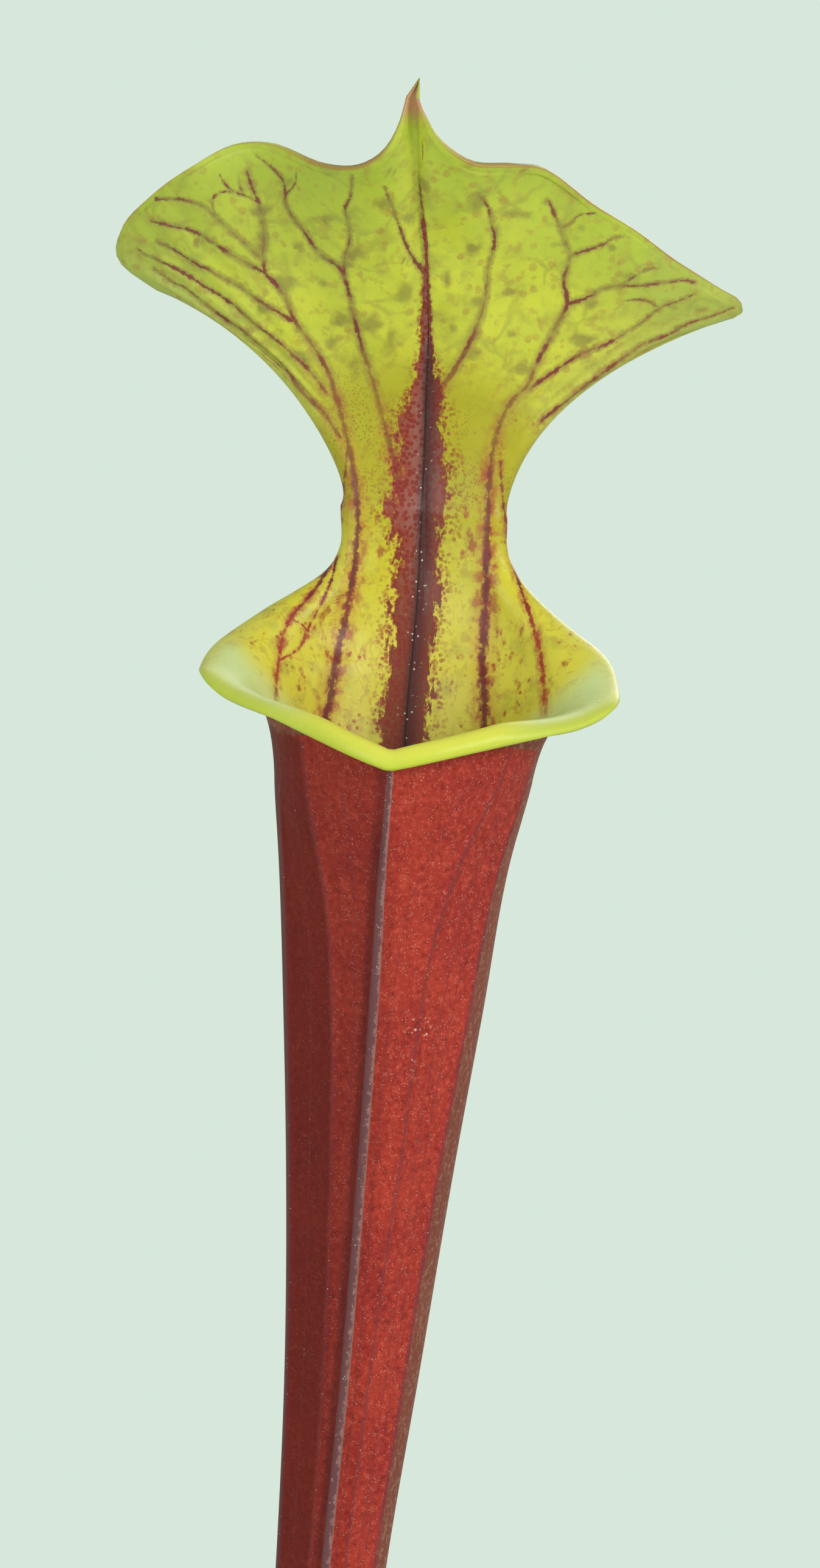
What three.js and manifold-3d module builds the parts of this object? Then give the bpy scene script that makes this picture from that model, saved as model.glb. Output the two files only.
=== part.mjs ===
// A trumpet pitcher plant (one tall hooded pitcher with low young leaves) in a round nursery pot.
// Millimetres, +Z up. The origin is the middle of the pot's underside, and the hood opens towards -Y.

import * as THREE from 'three';
import { mergeVertices } from 'three/addons/utils/BufferGeometryUtils.js';
import Module from 'manifold-3d';

const wasm = await Module();
wasm.setup();

// ---------------------------------------------------------------- driving dimensions

const GAP = 0.3; // clearance between neighbouring pieces
const DEG = Math.PI / 180;

// pot
const POT_RIM_RADIUS = 75;
const POT_BASE_RADIUS = 54;
const POT_SHOULDER_RADIUS = 71.2; // wall radius just under the rim band
const POT_SHOULDER_HEIGHT = 116;
const POT_HEIGHT = 130;
const POT_WALL = 1.6;
const POT_FLOOR = 2.2;
const POT_SIDES = 48;
const DRAIN_HOLES = 8;
const DRAIN_RADIUS = 5;
const DRAIN_RING = 39;

// soil
const SOIL_EDGE_HEIGHT = 112.8;
const SOIL_CROWN = 2.4; // the middle stands this much above the edge

// leaves: where the pitcher's own frame (origin at the spout's foot) stands in the pot's frame
const LEAF_X = 8;
const LEAF_Z = 465;
const LEAF_WALL = 1;
const BURIED = 12; // depth of each leaf base below the soil line
const SOIL_LINE = - 350; // soil line in the pitcher's frame
const CAVITY_FOOT = - 332;

// pitcher tube, outer face: height, centre x, centre y, half width, half depth
const TUBE = [
	[ - 362, - 23, 10, 6.2, 4.4 ], [ - 350, - 23, 10, 6.2, 4.4 ], [ - 335, - 23, 10, 5.4, 4.6 ],
	[ - 300, - 22.4, 9.6, 5.2, 4.9 ], [ - 250, - 20.8, 8.8, 6, 5.8 ], [ - 200, - 18.2, 7.6, 7.2, 7 ],
	[ - 160, - 15.2, 6.2, 8.3, 7.9 ], [ - 130, - 12.3, 5, 9.2, 8.7 ], [ - 99, - 8.95, 3.8, 11.15, 10.4 ],
	[ - 63, - 5.75, 2.2, 14.05, 13 ], [ - 39, - 3.75, 1.2, 16.45, 15.3 ], [ - 15, - 1.95, 0.4, 18.95, 17.7 ],
	[ 0, - 0.3, 0, 21.4, 19.8 ], [ 12, 0.7, 0, 22.6, 20.6 ], [ 20, 1.4, 0, 22.8, 20.8 ]
];
const FRONT_SHIFT = 5.5 * DEG; // the spout and the wing stand a little to the left of the front
const JOIN = 72 * DEG; // ring angle, from the back, where the edge of the column leaves the mouth
const SPOUT_BULGE = 2.2;
const MOUTH_TILT = - 0.055; // the mouth falls to the right, square to the leaning tube
const MOUTH = [
	[ 0, 17 ], [ 50, 15 ], [ 72, 11.6 ], [ 95, 8.9 ], [ 120, 7.4 ], [ 150, 5.2 ], [ 172, 2.7 ], [ 180, 1.7 ]
];

// raised ribs on the tube: height, degrees from the wing to the right rib, to the left rib
const RIBS = [
	[ - 362, 20, 20 ], [ - 200, 18, 20 ], [ - 130, 20, 16 ], [ - 95, 21, 20 ], [ - 60, 27, 24 ],
	[ - 30, 31, 30 ], [ - 18, 38, 34 ], [ - 8, 46, 40 ], [ 0, 54, 44 ], [ 12, 56, 48 ]
];
const RIB_HEIGHT = 0.55;

// front wing: height, how far it stands out
const WING = [
	[ - 340, 0 ], [ - 300, 3 ], [ - 220, 4 ], [ - 120, 3.4 ], [ - 60, 2.6 ], [ - 25, 1.9 ], [ - 6, 1 ], [ 0, 0 ]
];
const WING_HALF_CREST = 0.4;
const WING_HALF_ROOT = 0.75;

// column above the mouth: t, centre x, y, z, half arc length, half arc angle in degrees, drop of the ends
const COLUMN = [
	[ 0, 0.9, 20.6, 17, 27, 72, 3.4 ], [ 0.25, 1.5, 21, 23, 21.5, 62, 2 ], [ 0.5, 2.1, 20.6, 29.5, 15.5, 42, 1 ],
	[ 0.75, 2.6, 19.2, 36.5, 11.6, 22, 0.3 ], [ 1, 2.9, 17.2, 44, 10.2, 10, 0 ]
];
const COLUMN_LEAN = 3.5 * DEG;

// hood: control curves across the lid at one and two thirds of its length and at its rim: s, x, y, z
const LID_LOW = [
	[ - 1, - 7.9, 17, 52 ], [ - 0.5, - 2.5, 18, 58 ], [ 0, 3.2, 18.2, 60 ], [ 0.5, 9, 18, 58 ],
	[ 1, 13.4, 17, 51 ]
];
const LID_HIGH = [
	[ - 1, - 26.8, 10, 73.4 ], [ - 0.75, - 32, 6, 80 ], [ - 0.5, - 25, 2, 87 ], [ - 0.25, - 11, - 3, 89 ],
	[ 0, 2.4, - 6, 90 ], [ 0.25, 13, - 3, 88 ], [ 0.5, 24, 2, 84 ], [ 0.75, 33, 6, 76 ], [ 1, 28.8, 12, 68 ]
];
const LID_RIM = [
	[ - 1, - 45.6, 14, 84.6 ], [ - 0.92, - 47.6, 13, 87.4 ], [ - 0.84, - 46.2, 10, 90.2 ],
	[ - 0.74, - 41.7, 5, 94.4 ],
	[ - 0.62, - 35.1, 0, 97.7 ], [ - 0.48, - 26.3, - 3, 101.8 ], [ - 0.4, - 21.8, - 5.5, 101.3 ],
	[ - 0.3, - 13.7, - 11, 97.2 ], [ - 0.2, - 6.6, - 15, 96.6 ], [ - 0.12, - 2.2, - 17.5, 99.6 ],
	[ - 0.05, 0.4, - 20, 105.2 ], [ 0, 2, - 20.8, 110.8 ], [ 0.05, 2, - 20, 105.2 ],
	[ 0.12, 4.7, - 17.5, 100.7 ],
	[ 0.2, 9.7, - 15, 97.2 ], [ 0.3, 17, - 12, 97.3 ], [ 0.42, 23.1, - 8, 97.4 ], [ 0.55, 30, - 4, 92.8 ],
	[ 0.68, 37.6, 0, 88 ], [ 0.8, 44.7, 5, 83.2 ], [ 0.9, 52, 10, 79.2 ], [ 0.97, 56.8, 13, 77.2 ],
	[ 1, 55.4, 14, 75.8 ]
];
const KEEL = 1.1; // extra thickness behind the midrib

// rolled margin: a wide arc and then a tight one: station, radius, degrees, radius, degrees
const FRONT_LIP = [
	[ 72, 8.6, 92, 2, 95 ], [ 86, 9.2, 94, 2.1, 100 ], [ 100, 8.6, 94, 2.2, 104 ], [ 118, 5.6, 92, 2.2, 110 ],
	[ 140, 3.2, 92, 2.2, 110 ], [ 180, 2.4, 92, 2.2, 110 ]
];
const SIDE_LIP = [
	[ 0, 8.6, 92, 2, 95 ], [ 0.12, 7.2, 84, 2, 95 ], [ 0.25, 4.9, 78, 2.2, 90 ], [ 0.4, 3.8, 82, 3, 60 ],
	[ 0.5, 3, 90, 3, 50 ], [ 0.7, 2.7, 80, 2.7, 40 ], [ 0.85, 2.5, 50, 2.5, 20 ], [ 1, 3, 18, 3, 8 ]
];
const TOP_LIP = [ [ 0, 6, 4, 6, 4 ], [ 0.8, 6, 8, 6, 4 ], [ 1, 3, 18, 3, 8 ] ];

// grid of the pitcher's two faces
const BACK_CELLS = 18;
const HALF_FRONT = 13;
const RIB_CELL = 5;
const TUBE_HEIGHTS = [ - 332, - 300, - 270, - 240, - 210, - 180, - 152, - 126, - 104, - 84, - 66, - 50 ];
const MOUTH_CELLS = 6;
const COLUMN_CELLS = 8;
const LID_CELLS = 12;
const LIP_CELLS = 6;

// young pitcher, still closed: height, half width, half depth
const YOUNG = [
	[ - 10, 3.4, 3 ], [ 4, 3.4, 3 ], [ 30, 2.9, 2.7 ], [ 60, 3.4, 3.1 ], [ 90, 4.6, 4.1 ], [ 112, 5.9, 5 ],
	[ 128, 6.6, 4.4 ], [ 140, 5, 2.8 ], [ 148, 2.2, 1.3 ], [ 152, 0.5, 0.4 ]
];
const YOUNG_FOOT = [ - 17, - 6 ];
const YOUNG_REACH = [ - 22, - 16 ];

// flat winter leaves: foot x, foot y, reach x, reach y, length, half width
const BLADES = [
	[ - 2, - 8.5, 32, - 34, 128, 6.2 ],
	[ - 19, 24, - 38, 26, 104, 5.6 ],
	[ 2, 24.5, 36, 30, 148, 6.8 ],
	[ 16, - 8, 44, - 20, 72, 4.6 ]
];
const BLADE_HALF_EDGE = 0.36;
const BLADE_HALF_RIB = 0.95;

// rhizome
const RHIZOME_START = [ - 7.6, 9 ];
const RHIZOME_HEIGHT = 110.6; // height of its axis
const RHIZOME_YAW = - 8 * DEG;
const RHIZOME_RADII = [
	[ 0, 0 ], [ 1.2, 4.4 ], [ 4, 7.4 ], [ 8, 8.9 ], [ 10, 8.2 ], [ 15, 9.4 ], [ 17, 8.5 ], [ 22, 9.5 ],
	[ 24, 8.4 ], [ 30, 9 ], [ 32, 8 ], [ 38, 8.2 ], [ 43, 6.8 ], [ 48, 4 ], [ 50, 0 ]
];
const STUBS = [ [ 8, 18, 6 ], [ 16, - 26, 4 ], [ 23, 20, 5 ], [ 31, - 12, 3 ] ]; // along, lean, length
const ROOTS = [ [ 8, - 20, - 34, 34 ], [ 16, 22, 26, 58 ], [ 26, 24, - 30, 24 ], [ 38, 10, - 8, 66 ] ];
const ROOT_RADIUS = 1.3;

// ---------------------------------------------------------------- helpers

// Smooth curve through rows of [ t, value, ... ]: cubic Hermite pieces with three-point slopes.
function through( rows, t ) {

	const last = rows.length - 1;
	const at = Math.min( Math.max( t, rows[ 0 ][ 0 ] ), rows[ last ][ 0 ] );
	let i = 0;
	while ( i < last - 1 && at >= rows[ i + 1 ][ 0 ] ) i ++;

	const step = ( k ) => rows[ k + 1 ][ 0 ] - rows[ k ][ 0 ];
	const rate = ( k, c ) => ( rows[ k + 1 ][ c ] - rows[ k ][ c ] ) / step( k );
	const slope = ( k, c ) => {

		if ( k === 0 ) return rate( 0, c );
		if ( k === last ) return rate( last - 1, c );
		return ( rate( k - 1, c ) * step( k ) + rate( k, c ) * step( k - 1 ) ) / ( step( k ) + step( k - 1 ) );

	};

	const h = step( i );
	const u = ( at - rows[ i ][ 0 ] ) / h;
	const values = [];

	for ( let c = 1; c < rows[ 0 ].length; c ++ ) {

		values.push(
			( 2 * u ** 3 - 3 * u ** 2 + 1 ) * rows[ i ][ c ] + ( u ** 3 - 2 * u ** 2 + u ) * h * slope( i, c ) +
			( 3 * u ** 2 - 2 * u ** 3 ) * rows[ i + 1 ][ c ] + ( u ** 3 - u ** 2 ) * h * slope( i + 1, c )
		);

	}

	return values;

}

function geometryFrom( points, triangles ) {

	const geometry = new THREE.BufferGeometry();
	const numbers = points.flatMap( ( p ) => p.toArray() );
	geometry.setAttribute( 'position', new THREE.Float32BufferAttribute( numbers, 3 ) );
	geometry.setIndex( triangles );
	return geometry;

}

// Closed skin over a stack of rings of the same number of points, with a fan at each end.
function loft( rings ) {

	const sides = rings[ 0 ].length;
	const points = rings.flat();
	const triangles = [];

	for ( let r = 0; r + 1 < rings.length; r ++ ) {

		for ( let k = 0; k < sides; k ++ ) {

			const a = r * sides + k;
			const b = r * sides + ( k + 1 ) % sides;
			triangles.push( a, b, b + sides, a, b + sides, a + sides );

		}

	}

	const foot = points.length;
	const total = ( ring ) => ring.reduce( ( sum, p ) => sum.add( p ), new THREE.Vector3() );
	const centre = ( ring ) => total( ring ).divideScalar( sides );
	points.push( centre( rings[ 0 ] ), centre( rings[ rings.length - 1 ] ) );
	const top = ( rings.length - 1 ) * sides;

	for ( let k = 0; k < sides; k ++ ) {

		const next = ( k + 1 ) % sides;
		triangles.push( foot, next, k );
		triangles.push( foot + 1, top + k, top + next );

	}

	return geometryFrom( points, triangles );

}

function toSolid( geometry ) {

	const plain = geometry.clone();
	plain.deleteAttribute( 'normal' );
	plain.deleteAttribute( 'uv' );
	const merged = mergeVertices( plain, 1e-4 );
	return new wasm.Manifold( new wasm.Mesh( {
		numProp: 3,
		vertProperties: Float32Array.from( merged.attributes.position.array ),
		triVerts: Uint32Array.from( merged.index.array )
	} ) );

}

function toGeometry( solid ) {

	const mesh = solid.getMesh();
	const geometry = new THREE.BufferGeometry();
	const numbers = Float32Array.from( mesh.vertProperties );
	geometry.setAttribute( 'position', new THREE.BufferAttribute( numbers, 3 ) );
	geometry.setIndex( new THREE.BufferAttribute( Uint32Array.from( mesh.triVerts ), 1 ) );
	return geometry;

}

function addPiece( group, name, geometry, colour, roughness ) {

	geometry.computeVertexNormals();
	const material = new THREE.MeshStandardMaterial( { color: colour, roughness, metalness: 0 } );
	const mesh = new THREE.Mesh( geometry, material );
	mesh.name = name;
	group.add( mesh );

}

// ---------------------------------------------------------------- pitcher

function mouthHeight( angle ) {

	const [ height ] = through( MOUTH, Math.abs( angle ) / DEG );
	return height + MOUTH_TILT * 22 * Math.sin( angle );

}

// Point of the tube at a ring angle (0 at the back, positive to the right), drawn in by the given depth.
function tubePoint( angle, z, depth ) {

	const [ cx, cy, rx, ry ] = through( TUBE, z );
	const turned = angle + FRONT_SHIFT * ( 1 - Math.cos( angle ) ) / 2;
	const off = ( Math.PI - Math.abs( angle ) ) / ( 26 * DEG );
	const bulge = SPOUT_BULGE * Math.exp( - off * off ) * Math.exp( - ( ( ( z - 4 ) / 16 ) ** 2 ) ) - depth;
	const x = cx + ( rx + bulge ) * Math.sin( turned );
	const y = cy + ( ry + bulge ) * Math.cos( turned );
	return new THREE.Vector3( x, y, z );

}

// Number of a front column, counted from the wing outwards on either side.
function fromWing( column ) {

	const k = column - BACK_CELLS - HALF_FRONT;
	return k <= 0 ? - k : k - 1;

}

// Ring angle of a column of the grid: the back is even, the front has columns along the wing and each rib.
function columnAngle( column, z ) {

	if ( column <= BACK_CELLS ) return ( 2 * column / BACK_CELLS - 1 ) * JOIN;

	const side = column <= BACK_CELLS + HALF_FRONT ? 1 : - 1;
	const rib = through( RIBS, z )[ side > 0 ? 0 : 1 ] * DEG;
	const [ , , , depth ] = through( TUBE, z );
	const stations = [
		[ 0, WING_HALF_CREST / depth ], [ 1, WING_HALF_ROOT / depth ],
		[ RIB_CELL, rib ], [ HALF_FRONT, Math.PI - JOIN ]
	];
	const k = fromWing( column );
	const i = k < 1 ? 0 : ( k < RIB_CELL ? 1 : 2 );
	const share = ( k - stations[ i ][ 0 ] ) / ( stations[ i + 1 ][ 0 ] - stations[ i ][ 0 ] );
	return side * ( Math.PI - THREE.MathUtils.lerp( stations[ i ][ 1 ], stations[ i + 1 ][ 1 ], share ) );

}

function columnPoint( t, s ) {

	const [ cx, cy, cz, half, beta, drop ] = through( COLUMN, t );
	const bend = beta * DEG;
	const x = half * Math.sin( bend * s ) / bend;
	const forward = half * ( 1 - Math.cos( bend * s ) ) / bend;
	const z = cz - drop * s * s - x * Math.sin( COLUMN_LEAN );
	return new THREE.Vector3( cx + x * Math.cos( COLUMN_LEAN ), cy - forward, z );

}

function lidPoint( s, t ) {

	const curve = new THREE.CubicBezierCurve3(
		columnPoint( 1, s ),
		new THREE.Vector3( ...through( LID_LOW, s ) ),
		new THREE.Vector3( ...through( LID_HIGH, s ) ),
		new THREE.Vector3( ...through( LID_RIM, s ) )
	);
	return curve.getPoint( t );

}

// The pitcher's upper (inner) face: tube rows, hood rows and the rolled margin, as one indexed grid.
function pitcherFace() {

	const columns = BACK_CELLS + 1 + 2 * HALF_FRONT;
	const points = [];
	const triangles = [];
	const add = ( p ) => points.push( p ) - 1;
	const quad = ( a, b, c, d ) => triangles.push( a, b, c, a, c, d );

	const tube = TUBE_HEIGHTS.map( ( z ) => Array.from( { length: columns }, ( _, j ) =>
		add( tubePoint( columnAngle( j, z ), z, LEAF_WALL ) ) ) );
	const foot = TUBE_HEIGHTS[ TUBE_HEIGHTS.length - 1 ];

	for ( let r = 1; r <= MOUTH_CELLS; r ++ ) {

		tube.push( Array.from( { length: columns }, ( _, j ) => {

			const w = r / MOUTH_CELLS;
			const angle = columnAngle( j, foot * ( 1 - w ) + 6 * w );
			return add( tubePoint( angle, foot + ( mouthHeight( angle ) - foot ) * w, LEAF_WALL ) );

		} ) );

	}

	for ( let r = 0; r + 1 < tube.length; r ++ ) {

		for ( let j = 0; j < columns; j ++ ) {

			const next = ( j + 1 ) % columns;
			quad( tube[ r ][ j ], tube[ r ][ next ], tube[ r + 1 ][ next ], tube[ r + 1 ][ j ] );

		}

	}

	// hood: starts on the back of the mouth and eases into the column's own shape
	const ring = tube[ tube.length - 1 ];
	const hood = [ ring.slice( 0, BACK_CELLS + 1 ) ];
	const across = ( j ) => 2 * j / BACK_CELLS - 1;

	for ( let r = 1; r <= COLUMN_CELLS + LID_CELLS; r ++ ) {

		hood.push( Array.from( { length: BACK_CELLS + 1 }, ( _, j ) => {

			if ( r > COLUMN_CELLS ) return add( lidPoint( across( j ), ( r - COLUMN_CELLS ) / LID_CELLS ) );

			const t = r / COLUMN_CELLS;
			const start = points[ ring[ j ] ].clone().sub( columnPoint( 0, across( j ) ) );
			return add( columnPoint( t, across( j ) ).addScaledVector( start, ( 1 - t ) ** 2 ) );

		} ) );

	}

	for ( let r = 0; r + 1 < hood.length; r ++ ) {

		for ( let j = 0; j < BACK_CELLS; j ++ ) {

			quad( hood[ r ][ j ], hood[ r ][ j + 1 ], hood[ r + 1 ][ j + 1 ], hood[ r + 1 ][ j ] );

		}

	}

	// margin loop: from the spout round the right ear, up the right edge, over the rim and back down the left
	const loop = [];
	const under = tube[ tube.length - 2 ];
	const top = hood.length - 1;
	const frontStation = ( j ) => through( FRONT_LIP, Math.abs( columnAngle( j, 6 ) ) / DEG );
	const upTheLid = ( r ) => 1 + ( r - COLUMN_CELLS ) / LID_CELLS;
	const upTheEdge = ( r ) => ( r <= COLUMN_CELLS ? r / COLUMN_CELLS : upTheLid( r ) ) / 2;
	const side = ( r, edge, inner ) => {

		const row = Math.min( r, top - 1 );
		loop.push( [ hood[ r ][ edge ], hood[ row ][ inner ], through( SIDE_LIP, upTheEdge( r ) ) ] );

	};

	const front = ( j ) => loop.push( [ ring[ j ], under[ j ], frontStation( j ) ] );
	const rim = ( j ) => {

		loop.push( [ hood[ top ][ j ], hood[ top - 1 ][ j ], through( TOP_LIP, Math.abs( across( j ) ) ) ] );

	};

	for ( let j = BACK_CELLS + HALF_FRONT; j > BACK_CELLS; j -- ) front( j );
	for ( let r = 0; r <= top; r ++ ) side( r, BACK_CELLS, BACK_CELLS - 1 );
	for ( let j = BACK_CELLS - 1; j > 0; j -- ) rim( j );
	for ( let r = top; r >= 0; r -- ) side( r, 0, 1 );
	for ( let j = columns - 1; j > BACK_CELLS + HALF_FRONT; j -- ) front( j );

	const lip = rolledMargin( loop, points ).map( ( row ) => row.map( add ) );
	lip.unshift( loop.map( ( [ index ] ) => index ) );

	for ( let r = 0; r + 1 < lip.length; r ++ ) {

		for ( let k = 0; k < loop.length; k ++ ) {

			const next = ( k + 1 ) % loop.length;
			quad( lip[ r ][ next ], lip[ r ][ k ], lip[ r + 1 ][ k ], lip[ r + 1 ][ next ] );

		}

	}

	return { points, triangles, foot: tube[ 0 ], edge: lip[ lip.length - 1 ] };

}

// Rows of points that carry on from the margin loop and turn over towards the leaf's back.
function rolledMargin( loop, points ) {

	const count = loop.length;
	const at = loop.map( ( [ index ] ) => points[ index ] );
	const next = ( row, k ) => row[ ( k + 1 ) % count ];
	const before = ( row, k ) => row[ ( k + count - 1 ) % count ];
	const tangents = at.map( ( _, k ) => next( at, k ).clone().sub( before( at, k ) ).normalize() );
	const square = ( v, k ) => v.addScaledVector( tangents[ k ], - v.dot( tangents[ k ] ) ).normalize();
	let out = loop.map( ( [ index, inner ], k ) => square( points[ index ].clone().sub( points[ inner ] ), k ) );

	for ( let pass = 0; pass < 3; pass ++ ) {

		out = out.map( ( v, k ) => square( v.clone().multiplyScalar( 0.5 )
			.addScaledVector( before( out, k ), 0.25 ).addScaledVector( next( out, k ), 0.25 ), k ) );

	}

	const back = out.map( ( v, k ) => tangents[ k ].clone().cross( v ).normalize() );
	const rows = [];

	for ( let r = 1; r <= LIP_CELLS; r ++ ) {

		rows.push( at.map( ( p, k ) => {

			const [ wide, wideTurn, tight, tightTurn ] = loop[ k ][ 2 ];
			const first = wide * wideTurn * DEG;
			const along = ( first + tight * tightTurn * DEG ) * r / LIP_CELLS;
			const turn = along < first ? along / wide : wideTurn * DEG + ( along - first ) / tight;
			const early = Math.min( turn, wideTurn * DEG );
			const outward = wide * Math.sin( early ) + tight * ( Math.sin( turn ) - Math.sin( early ) );
			const backward = wide * ( 1 - Math.cos( early ) ) + tight * ( Math.cos( early ) - Math.cos( turn ) );
			return p.clone().addScaledVector( out[ k ], outward ).addScaledVector( back[ k ], backward );

		} ) );

	}

	return rows;

}

function vertexNormals( points, triangles ) {

	const geometry = geometryFrom( points, triangles );
	geometry.computeVertexNormals();
	const normals = geometry.attributes.normal;
	return points.map( ( _, k ) => new THREE.Vector3().fromBufferAttribute( normals, k ) );

}

// Leaf base below the cavity: rings of the outer tube down into the soil.
function tubeRing( z ) {

	const columns = BACK_CELLS + 1 + 2 * HALF_FRONT;
	return Array.from( { length: columns }, ( _, j ) => tubePoint( columnAngle( j, z ), z, 0 ) );

}

function pitcherShell() {

	const face = pitcherFace();
	const count = face.points.length;
	const columns = BACK_CELLS + 1 + 2 * HALF_FRONT;
	const normals = vertexNormals( face.points, face.triangles );
	const tubeRows = TUBE_HEIGHTS.length + MOUTH_CELLS;

	const backs = face.points.map( ( p, k ) => {

		const row = Math.floor( k / columns );
		const column = k % columns;
		let thickness = LEAF_WALL;

		if ( row < tubeRows ) {

			const onFront = column > BACK_CELLS && row < tubeRows - 1;
			if ( onFront && fromWing( column ) === RIB_CELL ) thickness += RIB_HEIGHT;
			if ( onFront && fromWing( column ) === 0 ) thickness += through( WING, p.z )[ 0 ];

		} else {

			const beyond = k - tubeRows * columns;
			const hoodRow = Math.floor( beyond / ( BACK_CELLS + 1 ) );
			const onMidrib = beyond % ( BACK_CELLS + 1 ) === BACK_CELLS / 2;
			if ( onMidrib && hoodRow < COLUMN_CELLS + LID_CELLS - 1 ) thickness += KEEL;

		}

		return p.clone().addScaledVector( normals[ k ], - thickness );

	} );

	const points = face.points.concat( backs );
	const triangles = face.triangles.slice();

	for ( let k = 0; k < face.triangles.length; k += 3 ) {

		const [ a, b, c ] = face.triangles.slice( k, k + 3 );
		triangles.push( a + count, c + count, b + count );

	}

	for ( let k = 0; k < face.edge.length; k ++ ) {

		const a = face.edge[ k ];
		const b = face.edge[ ( k + 1 ) % face.edge.length ];
		triangles.push( b, a, a + count, b, a + count, b + count );

	}

	// foot: the cavity closes on a point, and the outer tube runs on down to its buried end
	const [ poleX, poleY ] = through( TUBE, CAVITY_FOOT );
	const pole = points.push( new THREE.Vector3( poleX, poleY, CAVITY_FOOT - 4 ) ) - 1;
	let above = face.foot.map( ( k ) => k + count );

	for ( const z of [ - 342, SOIL_LINE, SOIL_LINE - BURIED ] ) {

		const ring = tubeRing( z ).map( ( p ) => points.push( p ) - 1 );

		for ( let j = 0; j < columns; j ++ ) {

			const next = ( j + 1 ) % columns;
			triangles.push( ring[ j ], above[ j ], above[ next ], ring[ j ], above[ next ], ring[ next ] );

		}

		above = ring;

	}

	const [ cx, cy ] = through( TUBE, SOIL_LINE );
	const under = points.push( new THREE.Vector3( cx, cy, SOIL_LINE - BURIED ) ) - 1;

	for ( let j = 0; j < columns; j ++ ) {

		const next = ( j + 1 ) % columns;
		triangles.push( pole, face.foot[ next ], face.foot[ j ] );
		triangles.push( under, above[ j ], above[ next ] );

	}

	return geometryFrom( points, triangles );

}

// ---------------------------------------------------------------- other leaves

// Leaf grown along a line that leaves the soil upright and leans out: rings from a section function.
function leafRings( foot, reach, heights, top, section ) {

	return heights.map( ( h ) => {

		const u = Math.max( h, 0 ) / top;
		const lean = u ** 1.8;
		const x = foot[ 0 ] + reach[ 0 ] * lean;
		const y = foot[ 1 ] + reach[ 1 ] * lean;
		const centre = new THREE.Vector3( x, y, SOIL_LINE + LEAF_Z + h );
		return section( h, u ).map( ( [ a, b ] ) => centre.clone().add( new THREE.Vector3( a, b, 0 ) ) );

	} );

}

function youngPitcher() {

	const heights = [ - 10, 4, 18, 32, 46, 60, 74, 88, 100, 111, 121, 129, 136, 142, 147, 151 ];
	return loft( leafRings( YOUNG_FOOT, YOUNG_REACH, heights, 151, ( h ) => {

		const [ half, deep ] = through( YOUNG, h );
		return Array.from( { length: 14 }, ( _, k ) => {

			const angle = k / 14 * 2 * Math.PI;
			const ridge = k === 0 && h > 12 && h < 140 ? 1.5 : 0;
			return [ ( half * Math.sin( angle ) ), - ( deep + ridge ) * Math.cos( angle ) ];

		} );

	} ) );

}

function blade( [ footX, footY, reachX, reachY, length, half ] ) {

	const steps = 12;
	const above = Array.from( { length: steps }, ( _, k ) => length * ( k + 0.5 ) / ( steps - 0.5 ) );
	const heights = [ - 10, ...above ];
	const across = new THREE.Vector2( reachX, reachY ).normalize();
	const flat = new THREE.Vector2( - across.y, across.x );

	return loft( leafRings( [ footX, footY ], [ reachX, reachY ], heights, length, ( h, u ) => {

		const wide = half * ( 0.42 + 2.5 * u * ( 1 - u ) ** 0.55 - 0.42 * u ** 6 ) * 0.62 + 0.3;
		const rib = BLADE_HALF_RIB * ( 1.6 - 1.1 * u );
		const edge = BLADE_HALF_EDGE;
		const section = [ [ wide, edge ], [ wide * 0.4, rib ], [ - wide * 0.4, rib ], [ - wide, edge ],
			[ - wide, - edge ], [ - wide * 0.4, - rib ], [ wide * 0.4, - rib ], [ wide, - edge ] ];
		return section.map( ( [ w, d ] ) => [ across.x * w + flat.x * d, across.y * w + flat.y * d ] );

	} ) );

}

// ---------------------------------------------------------------- rhizome and roots

function rhizomePlace( geometry ) {

	geometry.rotateZ( RHIZOME_YAW );
	geometry.translate( RHIZOME_START[ 0 ], RHIZOME_START[ 1 ], RHIZOME_HEIGHT );
	return geometry;

}

function rhizomeBody( grow ) {

	const profile = RHIZOME_RADII.map( ( [ along, radius ], k ) => {

		const last = RHIZOME_RADII.length - 1;
		const end = k === 0 ? - grow : ( k === last ? grow : 0 );
		return new THREE.Vector2( radius > 0 ? radius + grow : 0, along + end );

	} );
	const geometry = new THREE.LatheGeometry( profile, 16 );
	geometry.rotateZ( - Math.PI / 2 );
	return rhizomePlace( geometry );

}

function rod( from, to, radius, sides ) {

	const direction = to.clone().sub( from );
	const geometry = new THREE.CylinderGeometry( radius, radius, direction.length(), sides );
	const upright = new THREE.Vector3( 0, 1, 0 );
	const lay = new THREE.Quaternion().setFromUnitVectors( upright, direction.clone().normalize() );
	geometry.applyQuaternion( lay );
	const middle = from.clone().add( to ).multiplyScalar( 0.5 );
	geometry.translate( middle.x, middle.y, middle.z );
	return geometry;

}

// Brown stub of an old leaf base, standing up out of the rhizome.
function stub( [ along, lean, length ] ) {

	const from = new THREE.Vector3( along, 0, 2 );
	const tilt = lean * DEG;
	const reach = length + 8;
	const to = new THREE.Vector3( along - 1.5, Math.sin( tilt ) * reach, Math.cos( tilt ) * reach );
	return rhizomePlace( rod( from, to, 2.6, 8 ) );

}

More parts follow.
